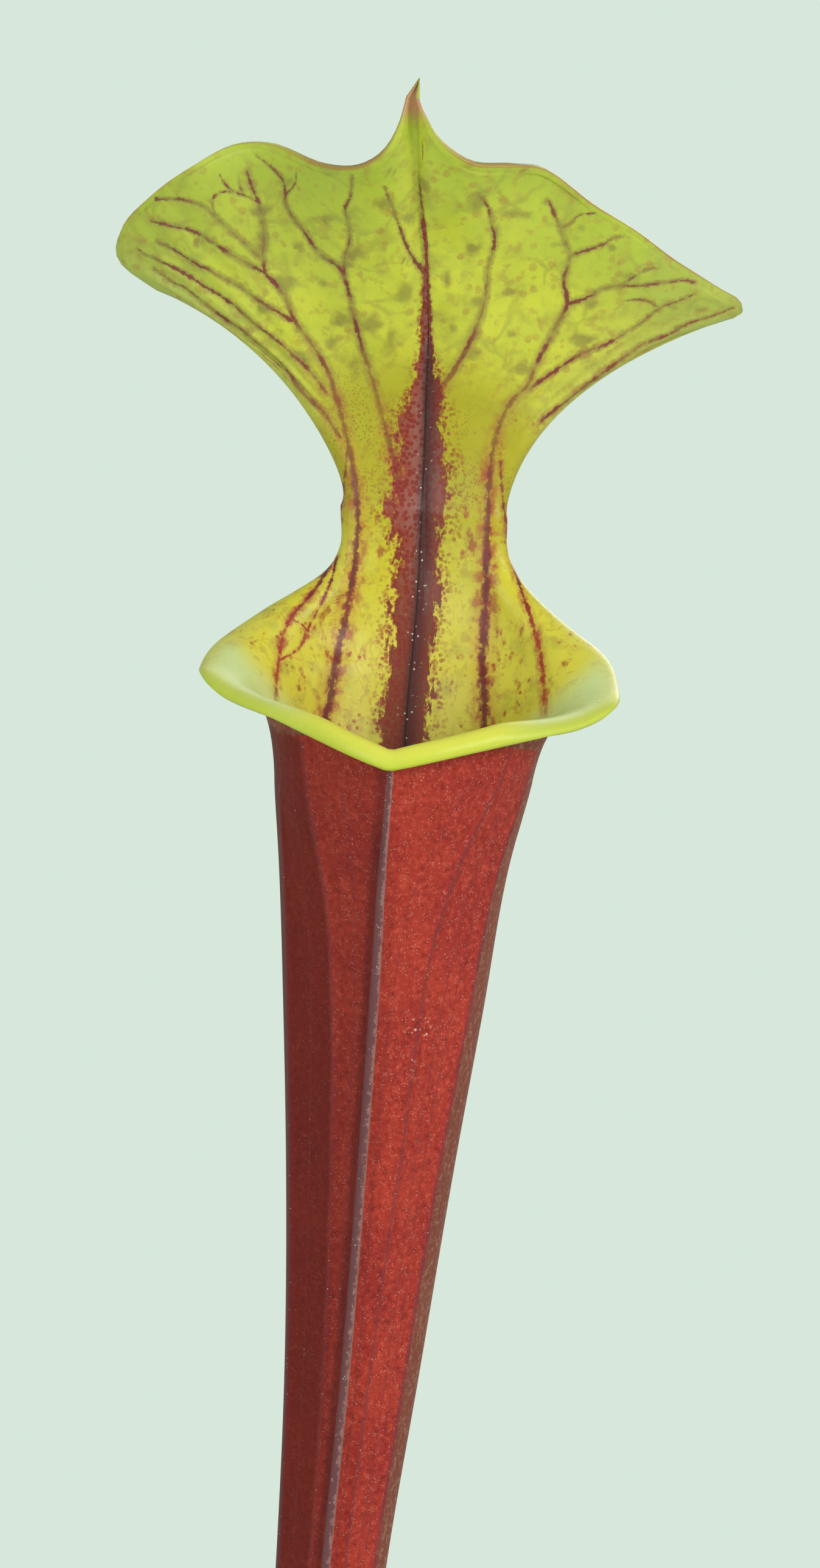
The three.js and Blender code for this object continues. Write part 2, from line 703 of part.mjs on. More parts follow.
function root( [ along, reachX, reachY, depth ], grow ) {

	const start = new THREE.Vector3( along, 0, - 4 );
	const curve = new THREE.CatmullRomCurve3( [
		start,
		start.clone().add( new THREE.Vector3( 0.1 * reachX, 0.16 * reachY, - 0.3 * depth ) ),
		start.clone().add( new THREE.Vector3( 0.5 * reachX, 0.6 * reachY, - 0.72 * depth ) ),
		start.clone().add( new THREE.Vector3( reachX, reachY, - depth ) )
	] );
	const section = new THREE.Shape();
	section.absarc( 0, 0, ROOT_RADIUS + grow, 0, 2 * Math.PI );
	const sweep = { steps: 6, curveSegments: 3, extrudePath: curve, bevelEnabled: false };
	const tube = new THREE.ExtrudeGeometry( section, sweep );
	const tip = new THREE.IcosahedronGeometry( ROOT_RADIUS + grow + 0.15 );
	const end = curve.getPoint( 1 );
	tip.translate( end.x, end.y, end.z );
	return toSolid( rhizomePlace( tube ) ).add( toSolid( rhizomePlace( tip ) ) );

}

function rhizomeSolid( grow ) {

	let solid = toSolid( rhizomeBody( grow ) );
	for ( const item of ROOTS ) solid = solid.add( root( item, grow ) );
	return solid;

}

// ---------------------------------------------------------------- pot and soil

const POT_TAPER = ( POT_SHOULDER_RADIUS - POT_BASE_RADIUS ) / POT_SHOULDER_HEIGHT;
const wallRadius = ( z ) => POT_BASE_RADIUS + POT_TAPER * z;

function potSolid() {

	const inner = ( z ) => wallRadius( z ) - POT_WALL;
	const profile = [
		[ 0, 0 ], [ POT_BASE_RADIUS - 1, 0 ], [ wallRadius( 1.2 ), 1.2 ],
		[ POT_SHOULDER_RADIUS, POT_SHOULDER_HEIGHT ],
		[ POT_RIM_RADIUS - 1, POT_SHOULDER_HEIGHT + 1.2 ], [ POT_RIM_RADIUS, POT_SHOULDER_HEIGHT + 2.6 ],
		[ POT_RIM_RADIUS, POT_HEIGHT - 1 ], [ POT_RIM_RADIUS - 0.8, POT_HEIGHT ],
		[ POT_RIM_RADIUS - 1.8, POT_HEIGHT ],
		[ POT_RIM_RADIUS - 2.6, POT_HEIGHT - 1 ], [ POT_RIM_RADIUS - 2.6, POT_SHOULDER_HEIGHT + 3.6 ],
		[ POT_SHOULDER_RADIUS - POT_WALL + 0.6, POT_SHOULDER_HEIGHT + 2 ],
		[ inner( POT_SHOULDER_HEIGHT ), POT_SHOULDER_HEIGHT ],
		[ inner( POT_FLOOR + 2 ), POT_FLOOR + 2 ], [ inner( POT_FLOOR ) - 2, POT_FLOOR ], [ 0, POT_FLOOR ]
	].map( ( [ r, z ] ) => new THREE.Vector2( r, z ) );
	const lathe = new THREE.LatheGeometry( profile, POT_SIDES );
	lathe.rotateX( Math.PI / 2 );
	let solid = toSolid( lathe );

	for ( let k = 0; k < DRAIN_HOLES; k ++ ) {

		const angle = ( k + 0.5 ) / DRAIN_HOLES * 2 * Math.PI;
		const x = DRAIN_RING * Math.cos( angle );
		const y = DRAIN_RING * Math.sin( angle );
		const low = new THREE.Vector3( x, y, - 2 );
		const high = new THREE.Vector3( x, y, POT_FLOOR + 2 );
		const drill = rod( low, high, DRAIN_RADIUS, 12 );
		solid = solid.subtract( toSolid( drill ) );

	}

	return solid;

}

function soilHeight( x, y, edge ) {

	const broad = 0.7 * Math.sin( 0.21 * x + 1.1 ) * Math.cos( 0.17 * y - 0.4 );
	const lumps = broad + 0.45 * Math.sin( 0.36 * y + 0.12 * x );
	return SOIL_EDGE_HEIGHT + ( SOIL_CROWN + lumps ) * ( 1 - edge * edge );

}

function soilBody() {

	const fit = POT_WALL + GAP;
	const bottom = POT_FLOOR + GAP;
	const ring = ( radius, z ) => Array.from( { length: POT_SIDES }, ( _, k ) => {

		const angle = k / POT_SIDES * 2 * Math.PI;
		const x = radius * Math.sin( angle );
		const y = - radius * Math.cos( angle );
		return new THREE.Vector3( x, y, z( x, y ) );

	} );
	const edgeRadius = wallRadius( SOIL_EDGE_HEIGHT ) - fit;
	const rings = [
		ring( wallRadius( bottom ) - fit - 2.2, () => bottom ),
		ring( wallRadius( bottom + 2.2 ) - fit, () => bottom + 2.2 ),
		ring( edgeRadius, () => SOIL_EDGE_HEIGHT )
	];

	for ( const share of [ 0.9, 0.74, 0.56, 0.38, 0.2, 0.06 ] ) {

		rings.push( ring( edgeRadius * share, ( x, y ) => soilHeight( x, y, share ) ) );

	}

	return toSolid( loft( rings ) );

}

// Plain upright hole of an oval stem, as deep as the stem is buried.
function stemHole( x, y, halfX, halfY, depth ) {

	const drill = new THREE.CylinderGeometry( 1, 1, depth + GAP + 20, 24 );
	drill.rotateX( Math.PI / 2 );
	drill.scale( halfX + GAP + 0.1, halfY + GAP + 0.1, 1 );
	drill.translate( x, y, SOIL_LINE + LEAF_Z - depth - GAP + ( depth + GAP + 20 ) / 2 );
	return toSolid( drill );

}

function bladeHole( [ footX, footY, reachX, reachY, , half ] ) {

	const wide = ( half * 0.42 * 0.62 + 0.3 + GAP + 0.1 );
	const deep = BLADE_HALF_RIB * 1.6 + GAP + 0.1;
	const drill = new THREE.BoxGeometry( 2 * wide, 2 * deep, 10 + GAP + 20 );
	drill.rotateZ( Math.atan2( reachY, reachX ) );
	drill.translate( footX, footY, SOIL_LINE + LEAF_Z - 10 - GAP + ( 30 + GAP ) / 2 );
	return toSolid( drill );

}

function soilSolid() {

	const [ cx, cy, rx, ry ] = through( TUBE, SOIL_LINE );
	let soil = soilBody().subtract( rhizomeSolid( GAP ) );
	soil = soil.subtract( stemHole( cx + LEAF_X, cy, rx, ry, BURIED ) );
	soil = soil.subtract( stemHole( ...YOUNG_FOOT, YOUNG[ 0 ][ 1 ], YOUNG[ 0 ][ 2 ], 10 ) );
	for ( const item of BLADES ) soil = soil.subtract( bladeHole( item ) );
	return soil;

}

// ---------------------------------------------------------------- assembly

const plant = new THREE.Group();

addPiece( plant, 'pot', toGeometry( potSolid() ), 0x2a2b2c, 0.55 );
addPiece( plant, 'soil', toGeometry( soilSolid() ), 0x3b2b20, 0.95 );

let rhizome = rhizomeSolid( 0 );
for ( const item of STUBS ) rhizome = rhizome.add( toSolid( stub( item ) ) );
addPiece( plant, 'rhizome', toGeometry( rhizome ), 0x6a4a34, 0.85 );

const shell = pitcherShell();
shell.translate( LEAF_X, 0, LEAF_Z );
addPiece( plant, 'pitcher', shell, 0xb4b94a, 0.5 );

addPiece( plant, 'young_pitcher', youngPitcher(), 0x9aa850, 0.55 );
BLADES.forEach( ( item, k ) => addPiece( plant, `phyllode_${ k + 1 }`, blade( item ), 0x86a145, 0.55 ) );

export default plant;
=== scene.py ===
"""A trumpet pitcher plant in a nursery pot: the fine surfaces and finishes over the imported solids."""

import math

import bpy
import numpy as np
from bpy.props import FloatProperty, FloatVectorProperty, IntProperty, PointerProperty
from bpy.types import Operator, Panel, PropertyGroup
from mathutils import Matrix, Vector


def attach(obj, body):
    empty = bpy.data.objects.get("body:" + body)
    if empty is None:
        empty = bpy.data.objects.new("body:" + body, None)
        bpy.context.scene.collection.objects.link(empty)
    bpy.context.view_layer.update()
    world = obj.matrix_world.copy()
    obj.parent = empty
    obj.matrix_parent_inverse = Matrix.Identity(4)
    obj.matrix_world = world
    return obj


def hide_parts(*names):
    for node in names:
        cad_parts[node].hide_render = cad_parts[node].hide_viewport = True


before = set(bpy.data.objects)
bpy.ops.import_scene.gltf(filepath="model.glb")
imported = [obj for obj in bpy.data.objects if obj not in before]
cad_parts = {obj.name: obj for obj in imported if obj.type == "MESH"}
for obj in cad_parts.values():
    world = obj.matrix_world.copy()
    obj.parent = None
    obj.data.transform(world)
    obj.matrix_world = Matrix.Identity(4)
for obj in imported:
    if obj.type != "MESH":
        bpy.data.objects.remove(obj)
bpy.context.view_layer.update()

bl_info = {
    "name": "Potted pitcher plant",
    "version": (1, 0, 0),
    "blender": (4, 5, 0),
    "location": "View3D > Sidebar > Pitcher plant",
    "description": "Builds a hooded trumpet pitcher, its young leaves, rhizome, peat and nursery pot",
    "category": "Add Mesh",
}

MM = 0.001
DEG = math.pi / 180

# ------------------------------------------------------------------ sizes, in millimetres

# The pitcher's own frame has its origin at the spout's foot, X right, Y away from the viewer, Z up: where
# that is on the plant, the peat's height in this frame, and how far the tube runs on below the peat
LEAF_X = 8.0
LEAF_Z = 465.0
SOIL_LINE = -350.0
BURIED = 12.0

# tube, outer face: height, centre x, centre y, half width, half depth
TUBE = [
    (-362, -23, 10, 6.2, 4.4), (-350, -23, 10, 6.2, 4.4), (-335, -23, 10, 5.4, 4.6),
    (-300, -22.4, 9.6, 5.2, 4.9), (-250, -20.8, 8.8, 6, 5.8), (-200, -18.2, 7.6, 7.2, 7),
    (-160, -15.2, 6.2, 8.3, 7.9), (-130, -12.3, 5, 9.2, 8.7), (-99, -8.95, 3.8, 11.15, 10.4),
    (-63, -5.75, 2.2, 14.05, 13), (-39, -3.75, 1.2, 16.45, 15.3), (-15, -1.95, 0.4, 18.95, 17.7),
    (0, -0.3, 0, 21.4, 19.8), (12, 0.7, 0, 22.6, 20.6), (20, 1.4, 0, 22.8, 20.8),
]
# the wing's angle left of front, half the ring angle that the hood stands on, the bulge under the spout, and
# the mouth's slope down to the right over its half width
FRONT_SHIFT = 5.5 * DEG
JOIN = 72 * DEG
SPOUT_BULGE = 2.2
MOUTH_TILT = -0.09
MOUTH_HALF = 22

# height of the mouth by degrees from the back
MOUTH = [
    (0, 17), (50, 16.4), (72, 14.4), (84, 11.6), (95, 8.9), (120, 7.4), (150, 5.2), (172, 2.7), (180, 1.7),
]

# degrees from the wing to the right rib, the left rib, the right fold and the left fold, by height
RIBS = [
    (-362, 20, 20, 55, 62), (-200, 18, 20, 55, 63), (-130, 20, 16, 55, 65), (-95, 21, 20, 55, 67),
    (-60, 27, 24, 59, 67), (-30, 31, 30, 64, 67), (-18, 38, 34, 67, 67), (-8, 46, 40, 72, 68),
    (0, 54, 44, 77, 69), (12, 56, 48, 80, 74),
]
# how far the ribs and folds stand out, and how nearly the faces between the wing and the folds are flat
RIB_HEIGHT = 0.4
FOLD_HEIGHT = 0.3
FACET = 0.62

# fine veins of the tube, degrees from the wing by height: three on the right, two on the left, two behind
MINOR_VEINS = [
    (-362, 8, 36, 44, 8, 46, 108, 142), (-130, 8, 36, 44, 8, 46, 108, 142),
    (-95, 9, 38, 46, 9, 48, 106, 142), (-60, 8, 40, 47, 10, 48, 102, 140),
    (-35, 10, 45, 53, 12, 48, 99, 138), (-20, 16, 50, 60, 14, 50, 98, 137),
    (-5, 32, 60, 74, 20, 54, 97, 136), (20, 40, 66, 80, 26, 60, 96, 135),
]

# front wing: height, how far it stands out
WING = [(-340, 0), (-300, 3), (-220, 4), (-120, 3.4), (-60, 2.6), (-25, 1.9), (-6, 1), (0, 0)]

# column above the mouth: t, centre x, y, z, half arc length, half arc angle, drop of the ends
COLUMN = [
    (0, 0.9, 20.6, 17, 27, 72, 3.4), (0.12, 1.2, 20.8, 19.7, 28.4, 60, 2.8),
    (0.25, 1.6, 20.9, 23.1, 24, 46, 2), (0.4, 2.5, 20.8, 26.8, 18.8, 38, 1.3),
    (0.55, 2.9, 20.4, 31, 13.6, 30, 0.8), (0.75, 3, 19.2, 36.5, 10.6, 20, 0.3),
    (1, 3, 17.2, 44, 10.6, 12, 0),
]
# tilt of the column, its right side down
COLUMN_LEAN = 3.4 * DEG

# control curves across the lid at a third and two thirds of its length, and its rim: s, x, y, z
LID_LOW = [
    (-1, -3.8, 17, 52.8), (-0.5, -2, 18, 58), (0, 3.2, 18.2, 60), (0.5, 8.4, 18, 58), (1, 13.6, 17, 51.2),
]
LID_HIGH = [
    (-1, -28, 10, 76.5), (-0.75, -30.5, 6, 82), (-0.5, -25, 2, 87), (-0.25, -11, -3, 89), (0, 2.4, -6, 90),
    (0.25, 13, -3, 88), (0.5, 24, 2, 84), (0.75, 32, 6, 76.5), (1, 28.6, 12, 68.8),
]
LID_RIM = [
    (-1, -41.5, 14, 81), (-0.94, -46.8, 13.5, 84.8), (-0.84, -46.2, 10, 90.2), (-0.74, -41.7, 5, 94.4),
    (-0.62, -35.8, 0, 98.2), (-0.48, -27, -3, 102), (-0.4, -21.8, -5.5, 101.3), (-0.3, -13.7, -11, 97.2),
    (-0.2, -6.6, -15, 96.6), (-0.12, -2.2, -17.5, 99.6), (-0.05, 0, -20, 105), (-0.02, 0.5, -20.5, 108),
    (0, 2.2, -20.8, 110.9), (0.02, 1.5, -20.5, 108), (0.05, 2.5, -20, 105), (0.12, 4.7, -17.5, 100.7),
    (0.2, 9.7, -15, 97.2), (0.3, 17, -12, 97), (0.42, 22.6, -8, 96.9), (0.55, 30.3, -4, 92),
    (0.68, 37.6, 0, 88), (0.8, 44.7, 5, 83.2), (0.9, 52, 10, 79.2), (0.95, 55, 12, 78),
    (0.975, 55.9, 13, 76.8), (1, 54.6, 14, 76),
]
# how far the keel stands out behind the midrib
KEEL = 1.1

# rolled margin, a wide arc and then a tight one: station, radius, degrees, radius, degrees. The station is
# the ring angle in degrees at the front, 0 at the mouth to 1 at the rim up the sides, and s along the rim.
FRONT_LIP = [
    (72, 12.6, 92, 2.2, 100), (86, 11.6, 94, 2.6, 105), (100, 9, 96, 2.7, 108), (118, 5.8, 94, 2.5, 112),
    (140, 3.4, 92, 2.3, 110), (180, 2.4, 92, 2.2, 110),
]
SIDE_LIP = [
    (0, 12.6, 92, 2.2, 98), (0.06, 10.8, 86, 2, 94), (0.125, 6.6, 78, 2, 88), (0.2, 4.2, 66, 2.1, 84),
    (0.3, 3.6, 58, 2.2, 78), (0.4, 3.2, 54, 2.4, 66), (0.5, 3, 52, 2.6, 60), (0.7, 2.7, 70, 2.7, 40),
    (0.85, 2.5, 50, 2.5, 20), (1, 3, 18, 3, 8),
]
TOP_LIP = [(0, 2, 4, 2, 4), (0.06, 6, 4, 6, 4), (0.8, 6, 8, 6, 4), (1, 3, 18, 3, 8)]

# young pitcher, still closed: height, half width, half depth
YOUNG = [
    (-10, 3.4, 3), (4, 3.4, 3), (30, 2.9, 2.7), (60, 3.4, 3.1), (90, 4.6, 4.1), (112, 5.9, 5),
    (128, 6.6, 4.4), (140, 5, 2.8), (148, 2.2, 1.3), (152, 0.5, 0.4),
]
YOUNG_HEIGHT = 151
# where it stands, and how far its top leans out: x, y
YOUNG_FOOT = (-17, -6)
YOUNG_REACH = (-22, -16)
# how far the young pitcher and the flat leaves run on below the peat
LEAF_BURIED = 10.0

# flat winter leaves: foot x, foot y, reach x, reach y, length, half width
BLADES = [
    (-2, -8.5, 32, -34, 128, 6.2), (-19, 24, -38, 26, 104, 5.6), (2, 24.5, 36, 30, 148, 6.8),
    (16, -8, 44, -20, 72, 4.6),
]

# ------------------------------------------------------------------ markings

# The markings are laid out as x, y on an upright plane through the pitcher, 0.1 mm to a unit, from the top
# left corner at PLANE_LEFT and PLANE_TOP. They are seen from in front, at VIEW_X and VIEW_Z.
UNIT = 0.1
PLANE_LEFT, PLANE_TOP = -66.7, 127.0
VIEW_DISTANCE = 800.0
VIEW_X, VIEW_Z = 0.65, -1.8

# veins of one set are at least this many millimetres apart, and the hood's veins make this many sets
VEIN_ROOM = 2.8
HOOD_SETS = 4

# midrib, from the top down: x, y
MIDRIB = [
    (682, 160), (685, 215), (687, 252), (692, 328), (694, 380), (698, 432), (700, 480), (702, 560),
    (700, 640), (697, 750), (692, 850), (688, 950), (680, 1050), (670, 1150), (665, 1222), (660, 1400),
]
# throat: y, x of its left edge, x of its right edge
THROAT = [
    (380, 693, 696), (430, 695, 700), (460, 694, 703), (500, 692, 706), (560, 690, 709), (600, 684, 714),
    (650, 671, 726), (680, 656, 728), (750, 648, 736), (800, 647, 738), (830, 636, 732), (900, 650, 729),
    (950, 648, 724), (1000, 640, 720), (1050, 642, 719), (1100, 640, 715), (1150, 630, 708),
    (1200, 624, 701), (1400, 614, 700),
]
# veins: width at the foot and at the tip in millimetres, then the points from foot to tip
VEINS = [
    (1.9, 0.7, [(530, 1290), (536, 1180), (550, 1100), (570, 1000), (585, 900), (588, 850), (576, 750),
        (563, 690), (550, 645), (538, 609), (522, 581), (499, 549), (481, 520), (472, 495), (456, 470),
        (436, 449), (431, 427), (434, 396), (432, 365), (424, 331), (413, 306), (406, 281)]),
    (2.1, 0.6, [(797, 1290), (797, 1195), (793, 1100), (797, 1000), (800, 900), (802, 830), (808, 750),
        (822, 695), (840, 660), (868, 632), (880, 600), (900, 564), (916, 532), (932, 500), (926, 464),
        (936, 420), (920, 376), (908, 344), (900, 328)]),
    (1.3, 0.5, [(655, 800), (650, 765), (632, 700), (613, 631), (598, 584), (588, 545), (579, 513),
        (573, 477), (566, 452), (566, 420), (573, 399), (572, 370), (566, 345), (574, 327), (579, 290)]),
    (1.3, 0.5, [(708, 668), (726, 640), (752, 600), (772, 564), (790, 520), (800, 484), (802, 440),
        (812, 396), (806, 360), (800, 336), (788, 322)]),
    (0.9, 0.4, [(702, 610), (702, 560), (700, 480), (697, 420), (694, 380), (692, 328), (689, 285)]),
    (0.8, 0.4, [(698, 456), (686, 436), (670, 409), (650, 356), (640, 330), (632, 308)]),
    (0.9, 0.4, [(566, 452), (555, 436), (527, 420), (502, 384), (484, 357), (473, 341), (466, 299),
        (446, 276), (420, 255)]),
    (0.9, 0.4, [(431, 427), (410, 406), (381, 381), (352, 354), (324, 334), (288, 327), (256, 327)]),
    (0.9, 0.4, [(436, 449), (416, 438), (384, 420), (352, 399), (320, 382), (295, 374), (281, 370),
        (250, 362)]),
    (0.9, 0.5, [(481, 527), (441, 502), (399, 477), (359, 452), (341, 441), (320, 431), (288, 413),
        (257, 398)]),
    (0.8, 0.4, [(536, 645), (505, 606), (474, 577), (452, 556), (420, 531), (384, 502), (341, 474),
        (302, 447), (277, 434), (255, 426)]),
    (0.9, 0.4, [(560, 720), (530, 676), (502, 649), (466, 606), (434, 577), (399, 541), (370, 524),
        (334, 499), (306, 475), (277, 461), (248, 441)]),
    (0.5, 0.3, [(424, 331), (400, 320), (384, 315), (363, 316), (350, 324), (350, 341), (354, 354)]),
    (0.6, 0.3, [(384, 315), (368, 299), (361, 286)]),
    (0.5, 0.3, [(470, 318), (486, 300), (486, 286)]),
    (0.5, 0.3, [(252, 424), (238, 420), (226, 408)]),
    (0.8, 0.4, [(936, 420), (972, 408), (992, 400), (1004, 392), (1026, 387)]),
    (0.5, 0.3, [(920, 374), (940, 364), (950, 354), (978, 350)]),
    (0.9, 0.4, [(932, 500), (960, 491), (992, 474), (1020, 468), (1064, 467), (1096, 463), (1124, 460),
        (1146, 464)]),
    (0.4, 0.3, [(1020, 468), (1044, 449), (1064, 440), (1080, 440)]),
    (0.9, 0.4, [(868, 640), (920, 604), (960, 580), (988, 568), (1024, 548), (1060, 524), (1082, 504),
        (1112, 492), (1142, 480)]),
    (0.4, 0.3, [(1082, 504), (1062, 494), (1024, 493)]),
    (0.8, 0.4, [(890, 690), (936, 652), (972, 624), (1016, 592), (1060, 564), (1092, 552), (1128, 530),
        (1172, 516), (1206, 504)]),
    (0.9, 0.5, [(897, 1190), (895, 1150), (885, 1060), (860, 980), (845, 935), (835, 880), (826, 820),
        (822, 760)]),
    (0.7, 0.5, [(451, 1160), (453, 1140), (458, 1080), (478, 1015), (500, 990), (540, 930), (556, 860),
        (566, 790), (570, 740)]),
    (0.4, 0.3, [(458, 1085), (488, 1068), (500, 1050), (508, 1030), (540, 965), (550, 930), (553, 890)]),
    (0.35, 0.3, [(476, 1015), (500, 1030), (506, 1045)]),
]
# blotches: centre, half width, half height
BLOTCHES = [
    (472, 297, 13, 9), (432, 343, 17, 11), (432, 393, 13, 26), (538, 359, 9, 9), (491, 402, 8, 8),
    (466, 466, 21, 14), (531, 463, 11, 10), (434, 506, 13, 10), (559, 527, 17, 12), (609, 531, 17, 15),
    (631, 334, 15, 10), (670, 360, 15, 11), (591, 416, 19, 12), (573, 431, 13, 17), (624, 436, 11, 6),
    (663, 484, 18, 16), (327, 399, 8, 6), (545, 563, 11, 13), (645, 281, 9, 6), (712, 360, 10, 7),
    (786, 328, 16, 14), (848, 352, 21, 6), (778, 410, 11, 9), (916, 400, 14, 7), (950, 372, 13, 6),
    (1004, 406, 10, 6), (816, 380, 10, 14), (834, 482, 16, 12), (786, 496, 12, 14), (734, 460, 7, 13),
    (666, 430, 10, 4), (1036, 452, 18, 10), (964, 558, 20, 9), (856, 604, 16, 15), (972, 500, 12, 7),
    (780, 584, 15, 14), (900, 332, 9, 6), (704, 236, 7, 11), (840, 548, 9, 6), (862, 280, 12, 4),
    (300, 408, 6, 4), (352, 354, 10, 8), (404, 545, 10, 7), (585, 600, 14, 20), (495, 590, 12, 16),
    (460, 545, 8, 6), (700, 300, 6, 12), (1100, 500, 12, 6), (1150, 505, 10, 5), (640, 560, 9, 16),
    (745, 540, 9, 10),
]

# right and left ear's hollow, one side of a line on the plane: its normal and a point, in millimetres
EAR_HOLLOWS = [(0.67, -0.74, 29.3, 14), (-0.77, -0.64, -25.5, 15.5)]

# pale scar on the tube: centre x, z, half width, half height
SCAR = (2.2, -43.5, 1.7, 4.2)

# ------------------------------------------------------------------ user settings


class PitcherSettings(PropertyGroup):
    """Sizes and colours of the trumpet pitcher."""

    wall: FloatProperty(name="Leaf thickness", description="Thickness of the pitcher's wall", default=MM,
                        min=0.6 * MM, max=2 * MM, unit="LENGTH")
    hood: FloatVectorProperty(name="Hood", description="Yellow-green of the hood", subtype="COLOR",
                              default=(0.555, 0.58, 0.055), min=0, max=1)
    column: FloatVectorProperty(name="Column", description="Yellow of the neck", subtype="COLOR",
                                default=(0.64, 0.56, 0.022), min=0, max=1)
    lip: FloatVectorProperty(name="Lip", description="Pale yellow-green of the rolled lip", subtype="COLOR",
                             default=(0.80, 0.76, 0.100), min=0, max=1)
    vein: FloatVectorProperty(name="Veins", description="Dark red of the veins and throat", subtype="COLOR",
                              default=(0.19, 0.016, 0.026), min=0, max=1)
    tube: FloatVectorProperty(name="Tube", description="Red of the tube", subtype="COLOR",
                              default=(0.34, 0.027, 0.020), min=0, max=1)


class LeafSettings(PropertyGroup):
    """Colours of the young pitcher, blade leaves and rhizome."""

    green: FloatVectorProperty(name="Leaf green", description="Green of the blade leaves", subtype="COLOR",
                               default=(0.15, 0.29, 0.04), min=0, max=1)
    flush: FloatVectorProperty(name="Red flush", description="Red that flushes the young pitcher",
                               subtype="COLOR", default=(0.33, 0.06, 0.03), min=0, max=1)
    bark: FloatVectorProperty(name="Rhizome", description="Brown of the rhizome", subtype="COLOR",
                              default=(0.15, 0.075, 0.04), min=0, max=1)


class PotSettings(PropertyGroup):
    """Sizes and colours of the pot and what fills it."""

    rim_radius: FloatProperty(name="Rim radius", description="Outer radius of the rim band", default=75 * MM,
                              min=50 * MM, max=120 * MM, unit="LENGTH")
    height: FloatProperty(name="Height", description="Height of the pot", default=130 * MM, min=80 * MM,
                          max=200 * MM, unit="LENGTH")
    plastic: FloatVectorProperty(name="Plastic", description="Colour of the moulded plastic",
                                 subtype="COLOR", default=(0.022, 0.023, 0.025), min=0, max=1)
    peat: FloatVectorProperty(name="Peat", description="Colour of the moist peat", subtype="COLOR",
                              default=(0.050, 0.029, 0.017), min=0, max=1)
    grit: IntProperty(name="Grit", description="Number of white grit and perlite grains", default=420, min=0,
                      max=900)
    tufts: IntProperty(name="Moss", description="Number of moss shoots", default=620, min=0, max=1200)


class StageSettings(PropertyGroup):
    """Floor, light and camera."""

    floor: FloatVectorProperty(name="Floor", description="Colour of the floor", subtype="COLOR",
                               default=(0.72, 0.78, 0.73), min=0, max=1)
    backdrop: FloatVectorProperty(name="Surround", description="Colour of the soft surrounding light",
                                  subtype="COLOR", default=(0.68, 0.80, 0.71), min=0, max=1)
    surround: FloatProperty(name="Surround strength",
                            description="How strongly the surround lights the plant",
                            default=0.60, min=0, max=2)
    lens: FloatProperty(name="Lens", description="Focal length in millimetres", default=111.8, min=20,
                        max=300)


# ------------------------------------------------------------------ curves and meshes


def through(rows, t):
    """Cubic Hermite curve through rows of (t, value, ...), with slopes from each row's two neighbours."""
    rows = np.asarray(rows, float)
    knots, values = rows[:, 0], rows[:, 1:]
    step = np.diff(knots)[:, None]
    rate = np.diff(values, axis=0) / step
    inner = (rate[:-1] * step[1:] + rate[1:] * step[:-1]) / (step[1:] + step[:-1])
    slope = np.vstack([rate[:1], inner, rate[-1:]])
    t = np.clip(np.asarray(t, float), knots[0], knots[-1])
    i = np.clip(np.searchsorted(knots, t, side="right") - 1, 0, len(knots) - 2)
    h = step[i]
    u = ((t - knots[i]) / h[..., 0])[..., None]
    return ((2 * u**3 - 3 * u**2 + 1) * values[i] + (u**3 - 2 * u**2 + u) * h * slope[i]
            + (3 * u**2 - 2 * u**3) * values[i + 1] + (u**3 - u**2) * h * slope[i + 1])


def unit(v):
    """Vectors scaled to length one."""
    return v / np.maximum(np.linalg.norm(v, axis=-1, keepdims=True), 1e-9)


def smoothstep(low, high, x):
    """0 below low, 1 above high, and 3u^2 - 2u^3 between them."""
    u = np.clip((x - low) / (high - low), 0, 1)
    return u * u * (3 - 2 * u)


def ripples(points, size, seed):
    """Wandering number at each point: a sum of sines in random directions, of about one wavelength."""
    terms = 7
    rng = np.random.default_rng(seed)
    ways = unit(rng.normal(size=(terms, points.shape[-1])))
    waves = ways * (2 * np.pi / size) * rng.uniform(0.6, 1.6, (terms, 1))
    return np.sin(points @ waves.T + rng.uniform(0, 2 * np.pi, terms)).sum(-1) / math.sqrt(terms)


def strip_quads(index):
    """Quads of a grid of vertex numbers."""
    return np.stack([index[:-1, :-1], index[:-1, 1:], index[1:, 1:], index[1:, :-1]], -1).reshape(-1, 4)


def ring_quads(rows, sides):
    """Quads of a stack of closed rings, numbered ring by ring."""
    index = np.arange(rows * sides).reshape(rows, sides)
    return strip_quads(np.hstack([index, index[:, :1]]))


